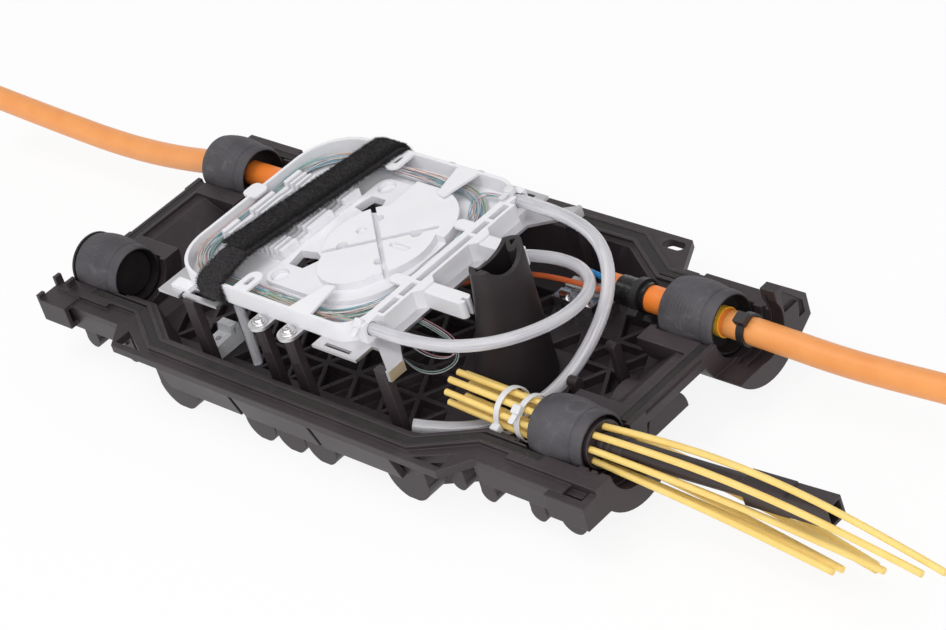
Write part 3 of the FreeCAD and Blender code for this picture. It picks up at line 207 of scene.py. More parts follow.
paint = {
    # the shell's rim colour is partly wear on its edges and partly a painted highlight there
    "shell": mottled("shellPlastic", (0.022, 0.0155, 0.0177), (0.043, 0.0317, 0.0358), (0.4, 0.56), 22, 1100, 0.22,
                     {"scale": 45, "reach": 0.58, "colour": (0.066, 0.055, 0.061), "rim": (0.085, 0.072, 0.079)},
                     edge=0.0008),
    "plug": mottled("plugPlastic", (0.0105, 0.0085, 0.009), (0.0175, 0.0145, 0.0155), (0.4, 0.55), 40, 1300, 0.2),
    "seal_rubber": mottled("sealRubber", (0.044, 0.04, 0.0465), (0.086, 0.079, 0.09), (0.55, 0.75), 70, 1500, 0.3,
                           {"scale": 90, "reach": 0.55, "colour": (0.15, 0.142, 0.156)}, (0.7, 1, 1)),
    "gasket": mottled("gasketGel", (0.009, 0.008, 0.0075), (0.023, 0.0205, 0.019), (0.5, 0.75), 120, 1400, 0.4,
                      {"scale": 160, "reach": 0.58, "colour": (0.06, 0.054, 0.05)}),
    "tray": mottled("trayWhite", (0.79, 0.785, 0.815), (0.845, 0.84, 0.87), (0.3, 0.42), 25, 800, 0.08, edge=0.0005),
    "bracket": mottled("bracketSteel", (0.7, 0.69, 0.705), (0.8, 0.79, 0.805), (0.38, 0.52), 90, 500, 0.03,
                       None, (0.12, 1, 1), Metallic=1.0),
    "screw": mottled("screwZinc", (0.6, 0.595, 0.6), (0.72, 0.71, 0.71), (0.14, 0.24), 200, 900, 0.02, Metallic=1.0),
    "clamp": mottled("clampSteel", (0.55, 0.55, 0.56), (0.7, 0.7, 0.71), (0.2, 0.34), 150, 700, 0.03, Metallic=1.0),
    "strap": mottled("strapLoop", (0.006, 0.0054, 0.006), (0.048, 0.0435, 0.047), (0.85, 1.0), 800, 2600, 0.9,
                     Sheen_Weight=0.06, Sheen_Roughness=0.5, Specular_IOR_Level=0.2),
    "cable": mottled("cableJacket", (0.84, 0.31, 0.085), (0.88, 0.365, 0.11), (0.34, 0.48), 60, 900, 0.12),
    "drop": mottled("dropJacket", (0.84, 0.585, 0.165), (0.89, 0.655, 0.215), (0.38, 0.5), 90, 1200, 0.1),
    "white_tie": mottled("tieWhite", (0.8, 0.8, 0.82), (0.87, 0.87, 0.885), (0.3, 0.45), 150, 1500, 0.1,
                         Transmission_Weight=0.2),
    "black_tie": mottled("tieBlack", (0.012, 0.011, 0.012), (0.022, 0.02, 0.022), (0.35, 0.5), 120, 1500, 0.2),
    "marker": mottled("markerBand", (0.88, 0.45, 0.03), (0.92, 0.52, 0.05), (0.4, 0.5), 150, 1500, 0.1),
    # streaks down the tube from dark lilac to white: partly the fibres seen inside, partly painted refraction stripes
    # and highlights
    "clear_tube": mottled("tubeClear", (0.64, 0.625, 0.69), (0.98, 0.975, 0.99), (0.14, 0.26), 1.0, 60, 0.05,
                          None, (5, 17, 1), along="UV", Transmission_Weight=0.45, IOR=1.38, Coat_Weight=0.6,
                          Coat_Roughness=0.06),
    "orange_tube": mottled("tubeOrange", (0.72, 0.13, 0.03), (0.8, 0.17, 0.045), (0.3, 0.42), 120, 1500, 0.1),
    "blue_tube": mottled("tubeBlue", (0.005, 0.22, 0.56), (0.01, 0.28, 0.64), (0.25, 0.36), 120, 1500, 0.1),
    "nylon": mottled("mountNylon", (0.78, 0.79, 0.82), (0.86, 0.87, 0.895), (0.2, 0.35), 90, 1200, 0.1,
                     Transmission_Weight=0.15, IOR=1.5)}


def fibreMaterial():
    # each strand keeps its own colour in the attribute fibreColour
    material = bpy.data.materials.new("fibreCoating")
    material.use_nodes = True
    tree = material.node_tree
    shader = tree.nodes["Principled BSDF"]
    own = addNode(tree, "ShaderNodeAttribute", attribute_name="fibreColour")
    place = tree.nodes.new("ShaderNodeTexCoord").outputs["Object"]
    surface = addNode(tree, "ShaderNodeGroup", node_tree=grain, **{"Blotch Scale": 140.0})
    tree.links.new(place, surface.inputs["Vector"])
    shade = addNode(tree, "ShaderNodeMapRange", {"Value": surface.outputs["Blotch"]}, **{"To Min": 0.8, "To Max": 1.0})
    worn = blendColour(tree, 1.0, own.outputs["Color"], shade.outputs["Result"], "MULTIPLY")
    tree.links.new(worn, shader.inputs["Base Color"])
    polish = addNode(tree, "ShaderNodeMapRange", {"Value": surface.outputs["Blotch"]},
                     **{"To Min": 0.25, "To Max": 0.4})
    tree.links.new(polish.outputs["Result"], shader.inputs["Roughness"])
    return material


paint["fibre"] = fibreMaterial()
# nodes with a finish of their own: wound tape with wrinkles, the smoother, darker tower, and the sheath ends inside, a
# deeper orange copy of the cable jacket that is painted shade
sheath = mottled("deeperJacketForShade", (0.9, 0.225, 0.03), (0.94, 0.27, 0.045), (0.32, 0.45), 60, 900, 0.12)
special = {"left_sheath": sheath, "right_sheath": sheath,
           "tape_band": mottled("tapeVinyl", (0.007, 0.0064, 0.007), (0.018, 0.0165, 0.018), (0.14, 0.32),
                                160, 330, 0.9, None, (2.4, 0.7, 0.7)),
           "centre_tower": mottled("towerPlastic", (0.0125, 0.0098, 0.0108), (0.0235, 0.0185, 0.0202), (0.34, 0.46),
                                   16, 1100, 0.15, None, (1, 1, 0.3), edge=0.0008)}
for entry in frame["record"]["subparts"]:
    nodes[entry["node"]].data.materials.clear()
    nodes[entry["node"]].data.materials.append(special.get(entry["node"], paint[entry["material_slot"]]))
print("materials made", len(paint) + len(special))


def camelName(node):
    # front_left_seal becomes frontLeftSeal
    return node[0] + node.title().replace("_", "")[1:]


# free cords: each is one line through its route, thick from its own bevel
cordLook = {"stepsAlong": 24, "stepsRound": 7}


def cordCurve(name, route, diameter, slot):
    points = np.asarray(route, float) * mm
    curve = bpy.data.curves.new(camelName(name) + "Line", "CURVE")
    curve.dimensions = "3D"
    curve.resolution_u = cordLook["stepsAlong"]
    curve.bevel_depth = diameter * mm / 2
    curve.bevel_resolution = cordLook["stepsRound"]
    curve.use_fill_caps = True
    spline = curve.splines.new("NURBS")
    spline.points.add(len(points) - 1)
    spline.points.foreach_set("co", np.column_stack([points, np.ones(len(points))]).ravel())
    spline.order_u = 3
    spline.use_endpoint_u = True
    piece = bpy.data.objects.new(camelName(name) + "Cord", curve)
    scene.collection.objects.link(piece)
    curve.materials.append(paint[slot])
    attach(piece, "root")
    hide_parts(name)


trunks = {"diameter": 12.4, "slot": "cable", "stiffness": "stiff", "farEnd": "bare",
          "trunk_cable_left": (187.8, [(-165, 43.5, 34), (-190, 43.5, 29), (-240, 43.5, 24.4), (-296, 43.5, 26.4),
                                       (-351.9, 43.5, 30)]),
          "trunk_cable_right": (131.2, [(165, 43.5, 34), (190, 43.5, 33.6), (226, 43.5, 32.2), (262, 43.5, 34.2),
                                        (296, 43.5, 36.8)])}
for name in ("trunk_cable_left", "trunk_cable_right"):
    length, route = trunks[name]
    cordCurve(name, route, trunks["diameter"], trunks["slot"])

tubes = {"transport_tube_rear": (6.2, 207.5, "clear_tube", [(35, 50.5, 61.5), (67, 50.5, 62.5), (102, 41.5, 62),
                                 (120, 21, 50), (116.5, -9, 28), (102, -34, 18.5), (85, -54, 21), (70, -64, 27)]),
         "transport_tube_front": (5.8, 201.5, "clear_tube", [(36, -48.8, 61), (72, -50, 61), (104, -37, 61.5),
                                  (119, -9, 59), (113, 19, 54.5), (91, 35, 50), (64, 36, 47.5), (45, 29.5, 46)]),
         "loose_tube_orange": (2.6, 90.5, "orange_tube", [(94, 41, 32), (62, 43, 30), (33, 35, 29), (12, 15, 28)]),
         "loose_tube_blue": (2.6, 91.8, "blue_tube", [(94, 46.5, 33), (66, 52, 33), (37, 44, 33.5), (19, 14, 33)]),
         "spare_tube": (4.6, 36.9, "clear_tube", [(-47, -51.6, 54), (-47, -51.6, 35.5), (-44, -54.6, 17.555)])}
for name, (diameter, length, slot, route) in tubes.items():
    cordCurve(name, route, diameter, slot)

drops = {"count": 8, "circle": 8.0, "port": (166.0, -43.5, 34.0), "diameter": 3.0,
         "shares": (0.0, 0.23, 0.5, 0.77, 1.0), "bows": (6.0, 11.0, 6.5, 2.5, 1.5, 1.5, 2.0, 4.0),
         "ends": [(295, -34, 10), (346, -51, 40.7), (338, -55, 40.2), (314, -50, 28), (292, -55.2, 23), (292, -50, 20),
                  (288, -46, 15), (300, -40, 14.5)],
         "lengths": (132.4, 181.8, 172.8, 148.4, 126.4, 126.3, 122.8, 135.3)}
turn = np.radians(360 / drops["count"] * (np.arange(drops["count"]) + 0.5))
dropSeats = np.array(drops["port"]) + drops["circle"] * np.column_stack([0 * turn, np.cos(turn), np.sin(turn)])
for k, (seat, end, bow) in enumerate(zip(dropSeats, drops["ends"], drops["bows"])):
    # straight from the hole to the free end, plus a parabola of its own height
    share = np.array(drops["shares"])[:, None]
    route = seat + (np.array(end) - seat) * share + 4 * bow * share * (1 - share) * np.array([0, 0, 1])
    cordCurve("drop_cord_%d" % (k + 1), route, drops["diameter"], "drop")
print("cords laid")


# mesh helpers: grids of points joined into quads, closed round one or both ways
def gridFaces(rows, columns, closedRows=False, closedColumns=True):
    i = np.arange(rows if closedRows else rows - 1)[:, None]
    j = np.arange(columns if closedColumns else columns - 1)[None, :]
    ahead, beside = (i + 1) % rows, (j + 1) % columns
    return np.stack([i * columns + j, ahead * columns + j, ahead * columns + beside, i * columns + beside],
                    -1).reshape(-1, 4)


def meshPiece(name, points, faces, slot, stands=(), smooth=True):
    mesh = bpy.data.meshes.new(name + "Mesh")
    mesh.from_pydata(points.reshape(-1, 3) * mm, [], [list(f) for f in faces])
    mesh.polygons.foreach_set("use_smooth", np.full(len(mesh.polygons), smooth))
    mesh.materials.append(paint[slot])
    mesh.validate()
    piece = bpy.data.objects.new(name, mesh)
    scene.collection.objects.link(piece)
    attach(piece, "root")
    if stands:
        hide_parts(*stands)
    return piece


def softEdges(piece, width, segments, sharpest=30):
    bevel = piece.modifiers.new("softEdge", "BEVEL")
    bevel.width = width * mm
    bevel.segments = segments
    bevel.limit_method = "ANGLE"
    bevel.angle_limit = np.radians(sharpest)
    bevel.harden_normals = True


def unit(rows):
    return rows / np.linalg.norm(rows, axis=1, keepdims=True)


def signedPower(value, power):
    # under 1 it squares off a cosine, so that a circle becomes a rounded oblong
    return np.sign(value) * np.abs(value) ** power


def evenLoop(corners, steps):
    # closed plane path: quarter circles (centre, radius, angles) and the straight sides between, evenly spread
    rough = np.concatenate([np.column_stack([a + r * np.cos(t), b + r * np.sin(t)]) for a, b, r, t in corners])
    ringed = np.vstack([rough, rough[:1]])
    run = np.concatenate([[0], np.cumsum(np.linalg.norm(np.diff(ringed, axis=0), axis=1))])
    even = np.linspace(0, run[-1], steps, endpoint=False)
    return np.column_stack([np.interp(even, run, ringed[:, 0]), np.interp(even, run, ringed[:, 1])])


def outwardOf(loop):
    # unit normals of a closed plane path, by central differences
    along = unit(np.roll(loop, -1, 0) - np.roll(loop, 1, 0))
    return np.column_stack([along[:, 1], -along[:, 0]])


def latheX(profile, centre, sides):
    # point = centre + (u, r cos t, r sin t), the profile (u, r) is a closed loop round the wall
    profile = np.asarray(profile, float)
    t = np.linspace(0, 2 * np.pi, sides, endpoint=False)
    ring = np.stack([np.broadcast_to(profile[:, :1], (len(profile), sides)), profile[:, 1:] * np.cos(t),
                     profile[:, 1:] * np.sin(t)], -1)
    return ring + np.array(centre, float), gridFaces(len(profile), sides, True)[:, ::-1]


def sweepTube(path, radius, sides, closed=False):
    # circle of the given radius in the plane across the path's direction, by central differences
    path = np.asarray(path, float)
    along = unit((np.roll(path, -1, 0) - np.roll(path, 1, 0)) if closed else np.gradient(path, axis=0))
    steep = np.abs(along[:, 2:]) > 0.9
    across = unit(np.cross(along, np.where(steep, np.array([[1.0, 0, 0]]), np.array([[0, 0, 1.0]]))))
    lift = np.cross(across, along)
    t = np.linspace(0, 2 * np.pi, sides, endpoint=False)[None, :, None]
    points = path[:, None] + radius * (np.cos(t) * across[:, None] + np.sin(t) * lift[:, None])
    return points, gridFaces(len(path), sides, closed)


def joined(parts):
    # several point grids and their faces as one list each
    points = [p.reshape(-1, 3) for p, f in parts]
    starts = np.cumsum([0] + [len(p) for p in points[:-1]])
    faces = [[int(v) + s for v in face] for (p, f), s in zip(parts, starts) for face in f]
    return np.concatenate(points), faces


def capped(points, faces, rows, columns, turned=False):
    # flat ends on an open tube, turned where its faces are listed the other way round
    first, last = list(range(columns)), list(range((rows - 1) * columns, rows * columns))
    return points, [list(f) for f in faces] + ([first[::-1], last] if turned else [first, last[::-1]])


# port seals: rubber barrels with a stepped lip at the +X end, fine rings round them and a recess in both ends
# foot and lip: (distance in from that end, depth under the greatest radius)
sealShape = {"bores": {"front_left_seal": 7.8, "rear_left_seal": 6.5, "front_right_seal": 11.1, "rear_right_seal": 6.5},
             "recess": 12.4, "depth": 6.5, "flare": 0.5, "belly": 1.5, "bellyMiddle": -3, "bellyRun": 11.4,
             "rings": 0.07, "ringPitch": 1.9, "barrelEnds": (1.3, 6.6), "barrelSteps": 61, "sides": 128,
             "foot": [(0, 2.3), (0.5, 1.6)],
             "lip": [(6.2, 2.0), (5.2, 2.0), (4.9, 1.15), (2.0, 1.45), (0.5, 1.9), (0, 2.4)],
             "edge": 0.3, "sheetThick": 0.25, "sheetGap": 0.02, "boreGap": 0.05, "mouthFlare": 0.46, "sheetLip": (2.55, 2.6),
             "sheetProud": 0.1}


def sealProfile(s, bore, big, half):
    # barrel radius: a parabola about a middle nearer the -X end, with shallow moulded rings
    u = np.linspace(-half + s["barrelEnds"][0], half - s["barrelEnds"][1], s["barrelSteps"])
    barrel = np.column_stack([u, big - s["belly"] * ((u - s["bellyMiddle"]) / s["bellyRun"]) ** 2
                              - s["rings"] * (1 + np.cos(2 * np.pi * u / s["ringPitch"]))])
    inner, recess = half - s["depth"], s["recess"]
    return np.concatenate([[(-half + x, big - d) for x, d in s["foot"]], barrel,
                           [(half - x, big - d) for x, d in s["lip"]],
                           [(half, recess + s["flare"]), (inner, recess), (inner, bore), (-inner, bore),
                            (-inner, recess), (-half, recess + s["flare"])]])


def plugAndShadeLiningProfile(s, bore, big, half):
    # thin dark sheet on the floor and wall of the recess in the +X end and on the face of its lip: painted shade in the
    # recess, and in the front left seal also the black plug's inner flange that fills it
    inner, gap, sheetThick = half - s["depth"], s["sheetGap"], s["sheetThick"]
    wall, mouth = s["recess"] - gap, s["recess"] + s["mouthFlare"]
    return [(inner + sheetThick, bore + s["boreGap"]), (inner + gap, bore + s["boreGap"]), (inner + gap, wall),
            (half + gap, mouth), (half + gap, big - s["sheetLip"][0]), (half + s["sheetProud"], big - s["sheetLip"][1]),
            (half + s["sheetProud"], mouth - sheetThick), (inner + sheetThick, wall - sheetThick)]


for name, bore in sealShape["bores"].items():
    low, high = (np.array(c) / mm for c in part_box(name))
    size = bore, (high[2] - low[2]) / 2, (high[0] - low[0]) / 2
    body = latheX(sealProfile(sealShape, *size), (low + high) / 2, sealShape["sides"])
    softEdges(meshPiece(camelName(name), *body, "seal_rubber", [name]), sealShape["edge"], 2)
    # the dark sheet in each recess is painted shade, and in the front left seal also the plug's flange
    shadeLiningMesh = latheX(plugAndShadeLiningProfile(sealShape, *size), (low + high) / 2, sealShape["sides"])
    meshPiece(camelName(name) + "Skin", *shadeLiningMesh, "plug", smooth=False)
print("seals turned")


# strap: a loop round tray and bracket, doubled on top, with a nap of short hairs
strapShape = {"left": -58.75, "right": -43.25, "lean": 0.135, "sway": 6.0, "swayFrom": -34.0, "inside": 58.3,
              "under": 53.7, "over": 65.3, "thick": 1.8, "corner": 5.0, "cornerSteps": 9, "steps": 420,
              "sectionSteps": 40, "sectionPowers": (0.35, 0.45), "fray": 0.22, "frayAside": 1.1, "frayOut": 0.5,
              "endAt": -36.0, "flapAside": (-1.0, -3.6), "flapFall": 10, "flapThick": 0.98}
napShape = {"hairs": 45000, "onFlap": 0.6, "leftShare": 0.25, "edgeShare": 0.6, "rootDepth": 0.45, "scatter": 0.55,
            "radius": 0.09, "longEdge": 2.6, "longTop": 1.2, "shortest": 0.3}


def roundedLoop(half, low, high, corner, cornerSteps, steps):
    # closed path in the Y-Z plane with four corners of one radius
    q = np.linspace(0, np.pi / 2, cornerSteps)
    y, z0, z1 = half - corner, low + corner, high - corner
    return evenLoop([(y, z1, corner, q), (-y, z1, corner, q + np.pi / 2), (-y, z0, corner, q + np.pi),
                     (y, z0, corner, q + 1.5 * np.pi)], steps)


def bandAlong(s, path, normal, x0, x1, thick, closed):
    # rounded oblong section: u across the strap in X, v out along the path's normal; frayed at random
    t = np.linspace(0, 2 * np.pi, s["sectionSteps"], endpoint=False)
    u = signedPower(np.cos(t), s["sectionPowers"][0]) * ((x1 - x0) / 2)
    v = signedPower(np.sin(t), s["sectionPowers"][1]) * thick / 2
    flat = np.column_stack([np.zeros(len(path)), path])
    out = np.column_stack([np.zeros(len(path)), normal])
    points = flat[:, None] + u[None, :, None] * np.array([1.0, 0, 0]) + v[None, :, None] * out[:, None]
    points[..., 0] += (x1 + x0) / 2
    rough = seed.normal(0, s["fray"], points.shape[:2])
    points[..., 0] += rough * s["frayAside"]
    points += rough[..., None] * out[:, None] * s["frayOut"]
    return points, gridFaces(len(path), len(t), closed)[:, ::-1]


def napHairs(s, n, loop, outward, upper, over):
    # closed three-sided spikes rooted at random on both layers, at their edges and on their outsides
    count = n["hairs"]
    onFlap = seed.random(count) < n["onFlap"]
    at = np.where(onFlap, seed.integers(0, len(upper), count), seed.integers(0, len(loop), count))
    away = np.where(onFlap[:, None], over[np.minimum(at, len(upper) - 1)], outward[at])
    middle = np.where(onFlap[:, None], upper[np.minimum(at, len(upper) - 1)], loop[at])
    side = seed.random(count)
    atLeft, atEdge = side < n["leftShare"], side < n["edgeShare"]
    edges = [s[name] + np.where(onFlap, aside, 0) for name, aside in zip(("left", "right"), s["flapAside"])]
    rootX = np.where(atLeft, edges[0], np.where(atEdge, edges[1], seed.uniform(*edges)))
    depth = np.where(atEdge, seed.uniform(-n["rootDepth"], n["rootDepth"], count), n["rootDepth"]) * s["thick"]
    root = np.column_stack([rootX, middle + depth[:, None] * away])
    lean = seed.normal(0, n["scatter"], (count, 3))
    lean[:, 0] += np.where(atLeft, -1.0, np.where(atEdge, 1.0, 0))
    lean[:, 1:] += np.where(atEdge[:, None], 0, away)
    lean = unit(lean)
    wide = np.cross(lean, seed.normal(0, 1, (count, 3)))
    wide *= n["radius"] / np.linalg.norm(wide, axis=1, keepdims=True)
    longest = np.where(atEdge, n["longEdge"], n["longTop"])[:, None]
    tip = root + lean * longest * seed.uniform(n["shortest"], 1.0, (count, 1))
    third = np.radians([0, 120, 240])[None, :, None]
    base = root[:, None] + np.cos(third) * wide[:, None] + np.sin(third) * np.cross(lean, wide)[:, None]
    spike = np.array([(0, 1, 3), (1, 2, 3), (2, 0, 3), (0, 2, 1)])
    return np.concatenate([base, tip[:, None]], 1), (4 * np.arange(count)[:, None, None] + spike).reshape(-1, 3)


def strapPieces(s, n):
    half = s["inside"] + s["thick"] / 2
    loop = roundedLoop(half, s["under"] - s["thick"] / 2, s["over"] + s["thick"] / 2, s["corner"], s["cornerSteps"],
                       s["steps"])
    outward = outwardOf(loop)
    body = bandAlong(s, loop, outward, s["left"], s["right"], s["thick"], True)
    # upper layer: the loop moved out by the strap's thickness, from the rear fall over to the free end on top
    upper = loop + s["thick"] * outward
    upper = np.roll(upper, s["flapFall"], 0)[:np.argmax(upper[:, 0] < s["endAt"]) + s["flapFall"]]
    over = np.roll(outward, s["flapFall"], 0)[:len(upper)]
    flap = bandAlong(s, upper, over, s["left"] + s["flapAside"][0], s["right"] + s["flapAside"][1],
                     s["thick"] * s["flapThick"], False)
    flap = capped(*flap, len(upper), s["sectionSteps"], True)
    hairs = napHairs(s, n, loop, outward, upper, over)
    for points, faces in (body, flap, hairs):
        # the strap leans towards +X as it runs to the rear, and its front fall swings towards +X by sway
        share = np.clip((s["swayFrom"] - points[..., 1]) / (s["inside"] + s["swayFrom"]), 0, 1)
        points[..., 0] += s["lean"] * points[..., 1] + s["sway"] * share ** 2 * (3 - 2 * share)
    return body, flap, hairs


strapLoop, strapFlap, strapHairs = strapPieces(strapShape, napShape)
meshPiece("strapLoop", *strapLoop, "strap", ["tray_strap"])
meshPiece("strapFlap", *strapFlap, "strap")
meshPiece("strapNap", *strapHairs, "strap", smooth=False)
print("strap laid")


# optical fibres: strands that wander about the middle of the tray's channel
coilShape = {"left": -82.2, "right": 36.2, "half": 49.0, "leftBend": 22.6, "rightBend": 29.5, "level": 58.9,
             "bendSteps": 24, "steps": 240, "sides": 5, "radius": 0.21, "strands": 60, "spread": 3.6,
             "meanShare": 0.62, "waveShare": 0.5, "waves": ((0.45, 2, 3), (0.3, 5, 5)),
             "rise": 3.2, "riseWave": (3, 7), "riseLeast": 0.3,
             "looseSteps": 24, "looseSides": 6, "slackStout": 1.3,
             "colours": [(0.2, 0.5, 0.48), (0.68, 0.3, 0.28), (0.8, 0.5, 0.36), (0.32, 0.52, 0.36),
                         (0.3, 0.47, 0.68), (0.5, 0.38, 0.58), (0.82, 0.81, 0.81), (0.76, 0.58, 0.6),
                         (0.6, 0.59, 0.6), (0.82, 0.81, 0.81), (0.26, 0.56, 0.62)],
             "slack": [[(30, -36, 53.6), (45, -43.5, 49), (61, -48.6, 45.2), (74, -47.6, 44.6), (80, -39, 46),
                        (76, -33, 49), (64, -31, 52), (48, -30, 53.6)],
                       [(31, -35, 53.6), (46, -43, 48.6), (62, -49.4, 44.8), (75, -48.2, 44.2), (81, -39.2, 45.6),
                        (77, -32.6, 48.8), (64, -30, 52), (48, -29, 53.6)],
                       [(36, -34, 53.6), (50, -39.5, 49), (65, -41.6, 46.2), (77, -38, 46.6), (75, -32, 50),
                        (63, -29, 52.4), (46, -28, 53.6)],
                       [(36, -33, 53.6), (50.5, -38.6, 49.4), (66, -40.6, 46.6), (78, -37, 47), (76, -31, 50.4),
                        (63, -28, 52.6), (46, -27, 53.6)]],
             "fans": {"rear": [(37, 50.6, 61.2), (25, 50.4, 60.6), (17, 46, 60.2), (27, 36.5, 60), (34.5, 22, 59.8),
                               (35.5, 2, 59.6)],
                      "front": [(37, -48.8, 61), (25, -49, 60.8), (8, -49.4, 60.4), (-12, -49, 60.2), (-34, -49, 60)]},
             "fanStrands": 13, "fanSpread": ((0.3, 0.9, 0.6), (5.0, 3.6, 1.1)),
             "slackColours": [(0.16, 0.24, 0.22), (0.3, 0.3, 0.3), (0.34, 0.36, 0.36), (0.3, 0.14, 0.16)]}


def channelLoop(s):
    # oblong in plan with its own corner radius at each end
    q = np.linspace(0, np.pi / 2, s["bendSteps"])
    left, right, half, r0, r1 = s["left"], s["right"], s["half"], s["leftBend"], s["rightBend"]
    return evenLoop([(right - r1, half - r1, r1, q), (left + r0, half - r0, r0, q + np.pi / 2),
                     (left + r0, r0 - half, r0, q + np.pi), (right - r1, r1 - half, r1, q + 1.5 * np.pi)], s["steps"])


def coilStrands(s):
    # offset from the middle of the channel: a mean plus two slow waves; height: one wave above the level
    loop = channelLoop(s)
    outward = outwardOf(loop)
    phase = np.linspace(0, 2 * np.pi, s["steps"], endpoint=False)
    (tall1, turns1, shift1), (tall2, turns2, shift2) = s["waves"]
    turns, shift = s["riseWave"]
    for k in range(s["strands"]):
        mean, first, second = seed.uniform(-1, 1, 3)
        wave = tall1 * np.sin(turns1 * phase + shift1 * first) + tall2 * np.sin(turns2 * phase + shift2 * second)
        aside = s["spread"] * (s["meanShare"] * mean + s["waveShare"] * wave)
        swell = 0.5 + 0.5 * np.sin(turns * phase + shift * first + k)
        rise = s["level"] + s["rise"] * swell * (s["riseLeast"] + (1 - s["riseLeast"]) * second ** 2)
        path = np.column_stack([loop + outward * aside[:, None], rise])
        yield sweepTube(path, s["radius"], s["sides"], True), s["colours"][k % len(s["colours"])]


def looseStrands(s):
    loose = [(points, s["slackStout"], s["slackColours"][k % len(s["slackColours"])])
             for k, points in enumerate(s["slack"])]
    for points in s["fans"].values():
        # a fan: the same points for every strand, each moved at random, more so further from the tube
        ease = np.linspace(0, 1, len(points))[:, None] ** 0.5
        reach = np.array(s["fanSpread"][0]) * (1 - ease) + np.array(s["fanSpread"][1]) * ease
        loose += [(points + reach * seed.uniform(-1, 1, (len(points), 3)), 1.0, s["colours"][k % len(s["colours"])])
                  for k in range(s["fanStrands"])]
    for points, stout, colour in loose:
        # quadratic pieces through the midpoints of the given points, so the strand has no corners
        knots = np.asarray(points, float)
        middle = np.vstack([knots[:1], (knots[1:-2] + knots[2:-1]) / 2, knots[-1:]])
        t = np.linspace(0, 1, s["looseSteps"], endpoint=False)[None, :, None]
        path = (1 - t) ** 2 * middle[:-1, None] + 2 * t * (1 - t) * knots[1:-1, None] + t ** 2 * middle[1:, None]
        path = path.reshape(-1, 3)
        tube = sweepTube(path, stout * s["radius"], s["looseSides"])
        yield capped(*tube, len(path), s["looseSides"]), colour


def fibreStrands(s):
    strands = [*coilStrands(s), *looseStrands(s)]
    shades = [np.tile([*colour, 1.0], (part[0].reshape(-1, 3).shape[0], 1)) for part, colour in strands]
    return joined([part for part, colour in strands]), np.concatenate(shades)


(fibrePoints, fibreFaces), fibreShade = fibreStrands(coilShape)
fibrePiece = meshPiece("fibreStrands", fibrePoints, fibreFaces, "fibre", ["fibre_coil"])
tint = fibrePiece.data.color_attributes.new("fibreColour", "FLOAT_COLOR", "POINT")
tint.data.foreach_set("color", fibreShade.ravel().astype(np.float32))
print("fibres laid")


# bracket screws: a washer and a pan head with a cross recess, on a plain shank
screwShape = {"places": [(-18, -62.6), (1, -62.6), (-18, 62.6), (1, 62.6)], "seat": 55.5, "washer": 4.0,
              "washerThick": 0.7, "washerEdge": 0.15, "head": 3.4, "headEdge": 0.3, "dome": 1.9, "shank": 1.9,
              "grip": 9.0, "slot": 0.42, "slotReach": 1.9, "slotDepth": 0.8, "slotSoft": (0.12, 0.25), "slotTurn": 0.4,
              "headSteps": 30, "sides": 72}


def panScrew(s):
    # turned profile (r, z); inside the cross |x| or |y| < slot the top drops by slotDepth with soft sides
    rho = np.linspace(0.02, 1, s["headSteps"])
    flat, seat, rim = s["seat"] + s["washerThick"], s["seat"], s["washerEdge"]
    r = np.concatenate([s["head"] * rho, [s["head"], s["washer"] - rim, s["washer"], s["washer"], s["shank"],
                                          s["shank"]]])
    dome = flat + s["headEdge"] + (s["dome"] - s["headEdge"]) * np.sqrt(np.maximum(0, 1 - rho ** 3))
    z = np.concatenate([dome, [flat, flat, flat - rim, seat, seat, seat - s["grip"]]])
    t = np.linspace(0, 2 * np.pi, s["sides"], endpoint=False) + s["slotTurn"]
    x, y = (np.abs(r[:, None] * wave(t - s["slotTurn"])) for wave in (np.cos, np.sin))
    inSlot = np.clip((s["slot"] - np.minimum(x, y)) / s["slotSoft"][0] + 0.5, 0, 1)
    inSlot *= np.clip((s["slotReach"] - np.maximum(x, y)) / s["slotSoft"][1] + 0.5, 0, 1)
    inSlot[len(rho):] = 0
    points = np.stack([r[:, None] * np.cos(t), r[:, None] * np.sin(t), z[:, None] - s["slotDepth"] * inSlot], -1)
    return capped(points, gridFaces(len(r), len(t)), len(r), len(t))


screwPoints, screwFaces = panScrew(screwShape)
allScrews = joined([(screwPoints + np.array([x, y, 0]), screwFaces) for x, y in screwShape["places"]])
meshPiece("bracketScrews", *allScrews, "screw", ["bracket_screws"])
print("screws set")


# cable ties: a band with rounded edges, a moulded head and the cut tail that sticks out of it
# places: middle, inner radius and turn in degrees
tieShape = {"width": 3.0, "thick": 0.9, "bandPowers": (0.4, 0.6), "bandSteps": 24, "sides": 96,
            "head": (4.6, 4.4, 3.6), "headSink": 0.9, "tail": 5.0, "tailFrom": 1.6, "tailLift": 1.2, "tailCurl": 0.02,
            "boxPower": 0.3, "boxSteps": (17, 40),
            "places": {"drop_tie_outer": ((126, -43.5, 34.5), 9.85, 35),
                       "drop_tie_inner": ((114, -43.5, 35.05), 9.7, 100),
                       "frontEntryTie": ((39.6, -48.9, 61), 3.05, 40), "rearEntryTie": ((39.2, 50.5, 61.65), 3.25, 10)}}


